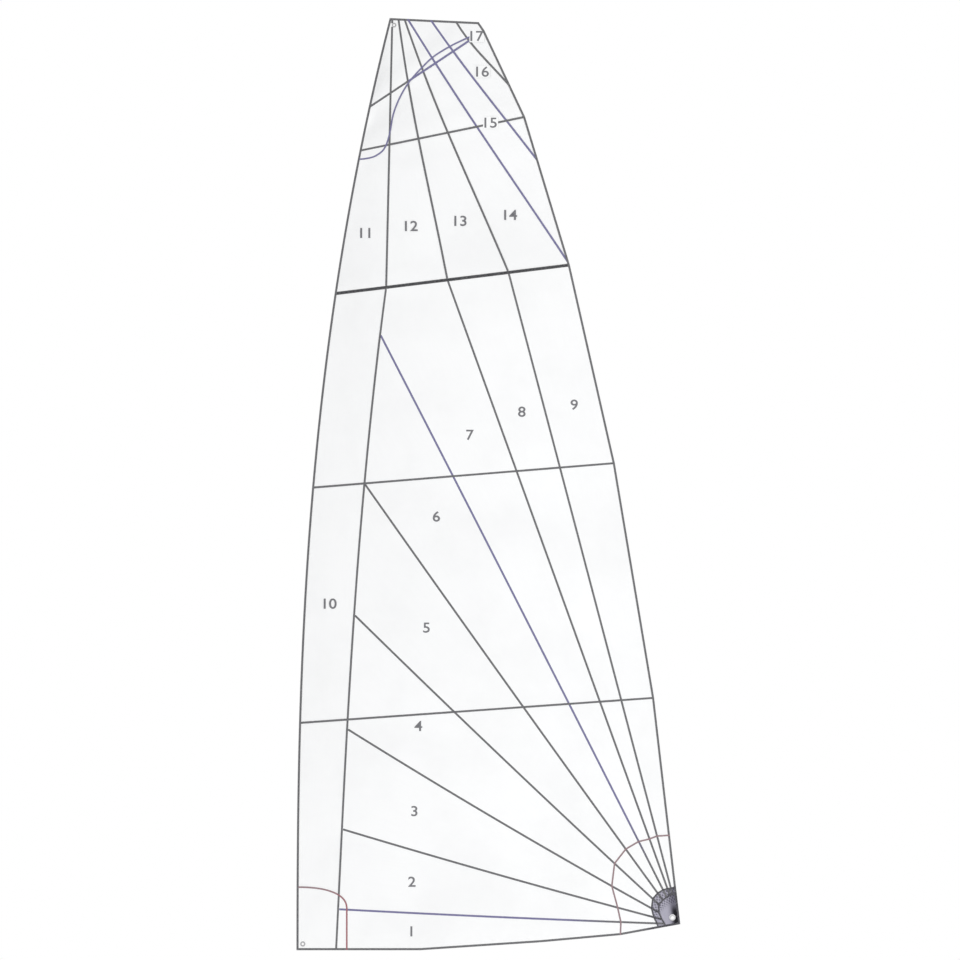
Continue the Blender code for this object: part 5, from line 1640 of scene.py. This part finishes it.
class MAINSAIL_OT_batten_tapes(bpy.types.Operator):
    """Tape the port side along each batten: stitched tapes whose dark colour is also painted shade of the batten
    seen through the cloth
    """

    bl_idname = "mainsail.batten_tapes"
    bl_label = "Batten tapes"

    def execute(self, context):
        trim = trim_settings()
        for number, name in enumerate(BATTEN_NAMES):
            width = trim.cross_width if number == UPPER else trim.seam_width
            line = straight(BATTEN_LUFF[number], BATTEN_LEECH[number], 600)
            parts = {name: (line, "black" if number == UPPER else "grey")}
            if number == GAFF:
                bend = int(len(line) * HEAD_PATCH_RISE[0, 0])
                aft = line[bend:]
                aft = aft[aft[:, 0] < BINDING_END]
                parts = {"gaff_luff": (line[:bend + 1], "grey"), "gaff_leech": (aft, "blue")}
            for part, (run, colour) in parts.items():
                # Painted shade: besides their stitching, these dark tapes stand for the batten's shadow seen
                # through the cloth
                lay_tapes(f"batten_tape_{part}", run, width, tape_finish(colour, width), layer=1)
        return {"FINISHED"}


class MAINSAIL_OT_patch_tapes(bpy.types.Operator):
    """Bind the edges of the corner patches with tape"""

    bl_idname = "mainsail.patch_tapes"
    bl_label = "Patch tapes"

    def execute(self, context):
        width = trim_settings().patch_width
        edge = head_patch_edge()
        shapes = {
            "clew_patch": (clew_fan(PATCH_REACH)[::-1][:-1], "rust"),
            "clew_fan": (clew_fan(FAN_REACH)[::-1][:-1], "fan_edge"),
            "clew_tips": (clew_fan(TIP_REACH)[::-1][:-1], "fan_edge"),
            "tack_patch": (tack_patch_shape()[1:], "tack_red"),
            "head_patch": (part_of(edge, edge[:, 0], edge[0, 0], BINDING_END), "blue"),
        }
        top = STARBOARD_PATCH + CLOTH + 2 * TAPE
        for name, (line, colour) in shapes.items():
            lay_both(f"{name}_binding", line, width, tape_finish(colour, width), 2, top)
        return {"FINISHED"}


class MAINSAIL_OT_pockets(bpy.types.Operator):
    """Sew the five batten pockets"""

    bl_idname = "mainsail.pockets"
    bl_label = "Batten pockets"

    def execute(self, context):
        cloth = cloth_settings()
        material = sailcloth("pocket_cloth", tuple(cloth.pocket), cloth.weave, 0.0008)
        for number in range(len(BATTEN_NAMES)):
            sew_pocket(number, material)
        return {"FINISHED"}


class MAINSAIL_OT_battens(bpy.types.Operator):
    """Finish the battens and their end caps"""

    bl_idname = "mainsail.battens"
    bl_label = "Battens and caps"

    def execute(self, context):
        finishes = {"batten": glass_fibre(), "luff_cap": moulded_nylon(), "leech_cap": moulded_nylon()}
        for name in BATTEN_NAMES:
            for part, material in finishes.items():
                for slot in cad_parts[f"{part}_{name}"].material_slots:
                    slot.material = material
        return {"FINISHED"}


class MAINSAIL_OT_rings(bpy.types.Operator):
    """Press the tack, clew and head rings"""

    bl_idname = "mainsail.rings"
    bl_label = "Corner rings"

    def execute(self, context):
        for name in RINGS:
            press_ring(name, pressed_steel())
        return {"FINISHED"}


class MAINSAIL_OT_numbers(bpy.types.Operator):
    """Print the panel numbers on the port side"""

    bl_idname = "mainsail.numbers"
    bl_label = "Panel numbers"

    def execute(self, context):
        ink, height = printed_ink(srgb(112, 112, 116)), trim_settings().number_height
        for number, place in NUMBERS.items():
            middle = np.array(place)
            if number in MASKED:
                number_square(number, middle, panel_cloth(2))
            print_number(number, middle, height, ink)
        return {"FINISHED"}


# Stage: middle of the view aft and up, how far off the camera stands, half the floor's side and its height
VIEW_MIDDLE, CAMERA_AWAY, FLOOR_HALF, FLOOR_HEIGHT = (1.3389, 3.4300), 12.0, 30.0, -0.60


def lay_floor():
    """Square floor below the sail."""
    finish = Finish("floor_paint", 0.9)
    grain = finish.noise(finish.place(), 3.0, 4.0)
    finish.colour(finish.mix(grain, (0.90, 0.90, 0.90), (0.93, 0.93, 0.93)))
    corners = ((-1, -1), (1, -1), (1, 1), (-1, 1))
    spots = [(x * FLOOR_HALF, y * FLOOR_HALF, FLOOR_HEIGHT) for x, y in corners]
    mesh = bpy.data.meshes.new("floor")
    mesh.from_pydata(spots, [], [(0, 1, 2, 3)])
    mesh.materials.append(finish.material)
    floor = bpy.data.objects.new("floor", mesh)
    bpy.context.collection.objects.link(floor)


def light_sky(strength):
    """Even light on the sail, and plain white where the camera, a mirror or clear stuff looks at the sky."""
    world = bpy.data.worlds.new("studio")
    bpy.context.scene.world = world
    world.use_nodes = True
    tree = world.node_tree
    even, white = tree.nodes["Background"], tree.nodes.new("ShaderNodeBackground")
    for light in (even, white):
        light.inputs["Color"].default_value = (1.0, 1.0, 1.0, 1.0)
    even.inputs["Strength"].default_value = strength
    rays = tree.nodes.new("ShaderNodeLightPath").outputs
    seen = rays["Is Camera Ray"]
    for kind in ("Glossy", "Transmission"):
        larger = tree.nodes.new("ShaderNodeMath")
        larger.operation = "MAXIMUM"
        tree.links.new(seen, larger.inputs[0])
        tree.links.new(rays[f"Is {kind} Ray"], larger.inputs[1])
        seen = larger.outputs[0]
    mixed = tree.nodes.new("ShaderNodeMixShader")
    for socket, source in zip(mixed.inputs, (seen, even.outputs[0], white.outputs[0])):
        tree.links.new(source, socket)
    tree.links.new(mixed.outputs[0], tree.nodes["World Output"].inputs["Surface"])


class MAINSAIL_OT_stage(bpy.types.Operator):
    """Set the floor, the light and the camera"""

    bl_idname = "mainsail.stage"
    bl_label = "Stage"

    def execute(self, context):
        stage = context.scene.mainsail_stage
        lay_floor()
        light_sky(stage.sky)
        lamps = {"port_lamp": ((0.5, 1.0, -0.7), 1.0), "starboard_lamp": ((-0.4, -1.0, -0.7), 0.8)}
        for name, (aim, strength) in lamps.items():
            lamp = bpy.data.lights.new(name, "SUN")
            lamp.energy = stage.sun * strength
            lamp.angle = math.radians(60.0)
            light = bpy.data.objects.new(name, lamp)
            light.rotation_euler = Vector(aim).to_track_quat("-Z", "Y").to_euler()
            context.collection.objects.link(light)
        lens = bpy.data.cameras.new("camera")
        lens.type = "ORTHO"
        lens.ortho_scale = stage.view_height
        lens.clip_end = 200.0
        camera = bpy.data.objects.new("camera", lens)
        camera.location = (VIEW_MIDDLE[0], -CAMERA_AWAY, VIEW_MIDDLE[1])
        camera.rotation_euler = (math.radians(90.0), 0.0, 0.0)
        context.collection.objects.link(camera)
        context.scene.camera = camera
        context.scene.view_settings.view_transform = "Standard"
        return {"FINISHED"}


OPERATORS = (
    MAINSAIL_OT_stage,
    MAINSAIL_OT_clew_panels,
    MAINSAIL_OT_luff_panel,
    MAINSAIL_OT_head_panels,
    MAINSAIL_OT_cores,
    MAINSAIL_OT_patches,
    MAINSAIL_OT_edge_tapes,
    MAINSAIL_OT_bolt_rope,
    MAINSAIL_OT_seam_tapes,
    MAINSAIL_OT_batten_tapes,
    MAINSAIL_OT_patch_tapes,
    MAINSAIL_OT_pockets,
    MAINSAIL_OT_battens,
    MAINSAIL_OT_rings,
    MAINSAIL_OT_numbers,
)


class MAINSAIL_PT_panel(bpy.types.Panel):
    """Sizes, colours and pieces of the mainsail"""

    bl_idname = "MAINSAIL_PT_panel"
    bl_label = "Mainsail"
    bl_space_type = "VIEW_3D"
    bl_region_type = "UI"
    bl_category = "Mainsail"

    def draw(self, context):
        scene = context.scene
        for group in (scene.mainsail_cloth, scene.mainsail_trim, scene.mainsail_stage):
            box = self.layout.box()
            for key in group.__annotations__:
                box.prop(group, key)
        for operator in OPERATORS:
            self.layout.operator(operator.bl_idname)


GROUPS = {"mainsail_cloth": MainsailCloth, "mainsail_trim": MainsailTrim, "mainsail_stage": MainsailStage}


def register():
    """Registers the settings, the operators and the panel."""
    for name, group in GROUPS.items():
        bpy.utils.register_class(group)
        setattr(bpy.types.Scene, name, bpy.props.PointerProperty(type=group))
    for item in (*OPERATORS, MAINSAIL_PT_panel):
        bpy.utils.register_class(item)


def unregister():
    """Takes them away again."""
    for item in reversed((*OPERATORS, MAINSAIL_PT_panel)):
        bpy.utils.unregister_class(item)
    for name, group in GROUPS.items():
        delattr(bpy.types.Scene, name)
        bpy.utils.unregister_class(group)


def main():
    """Sews the whole sail."""
    register()
    for operator in OPERATORS:
        group, name = operator.bl_idname.split(".")
        getattr(getattr(bpy.ops, group), name)()


if __name__ == "__main__":
    main()
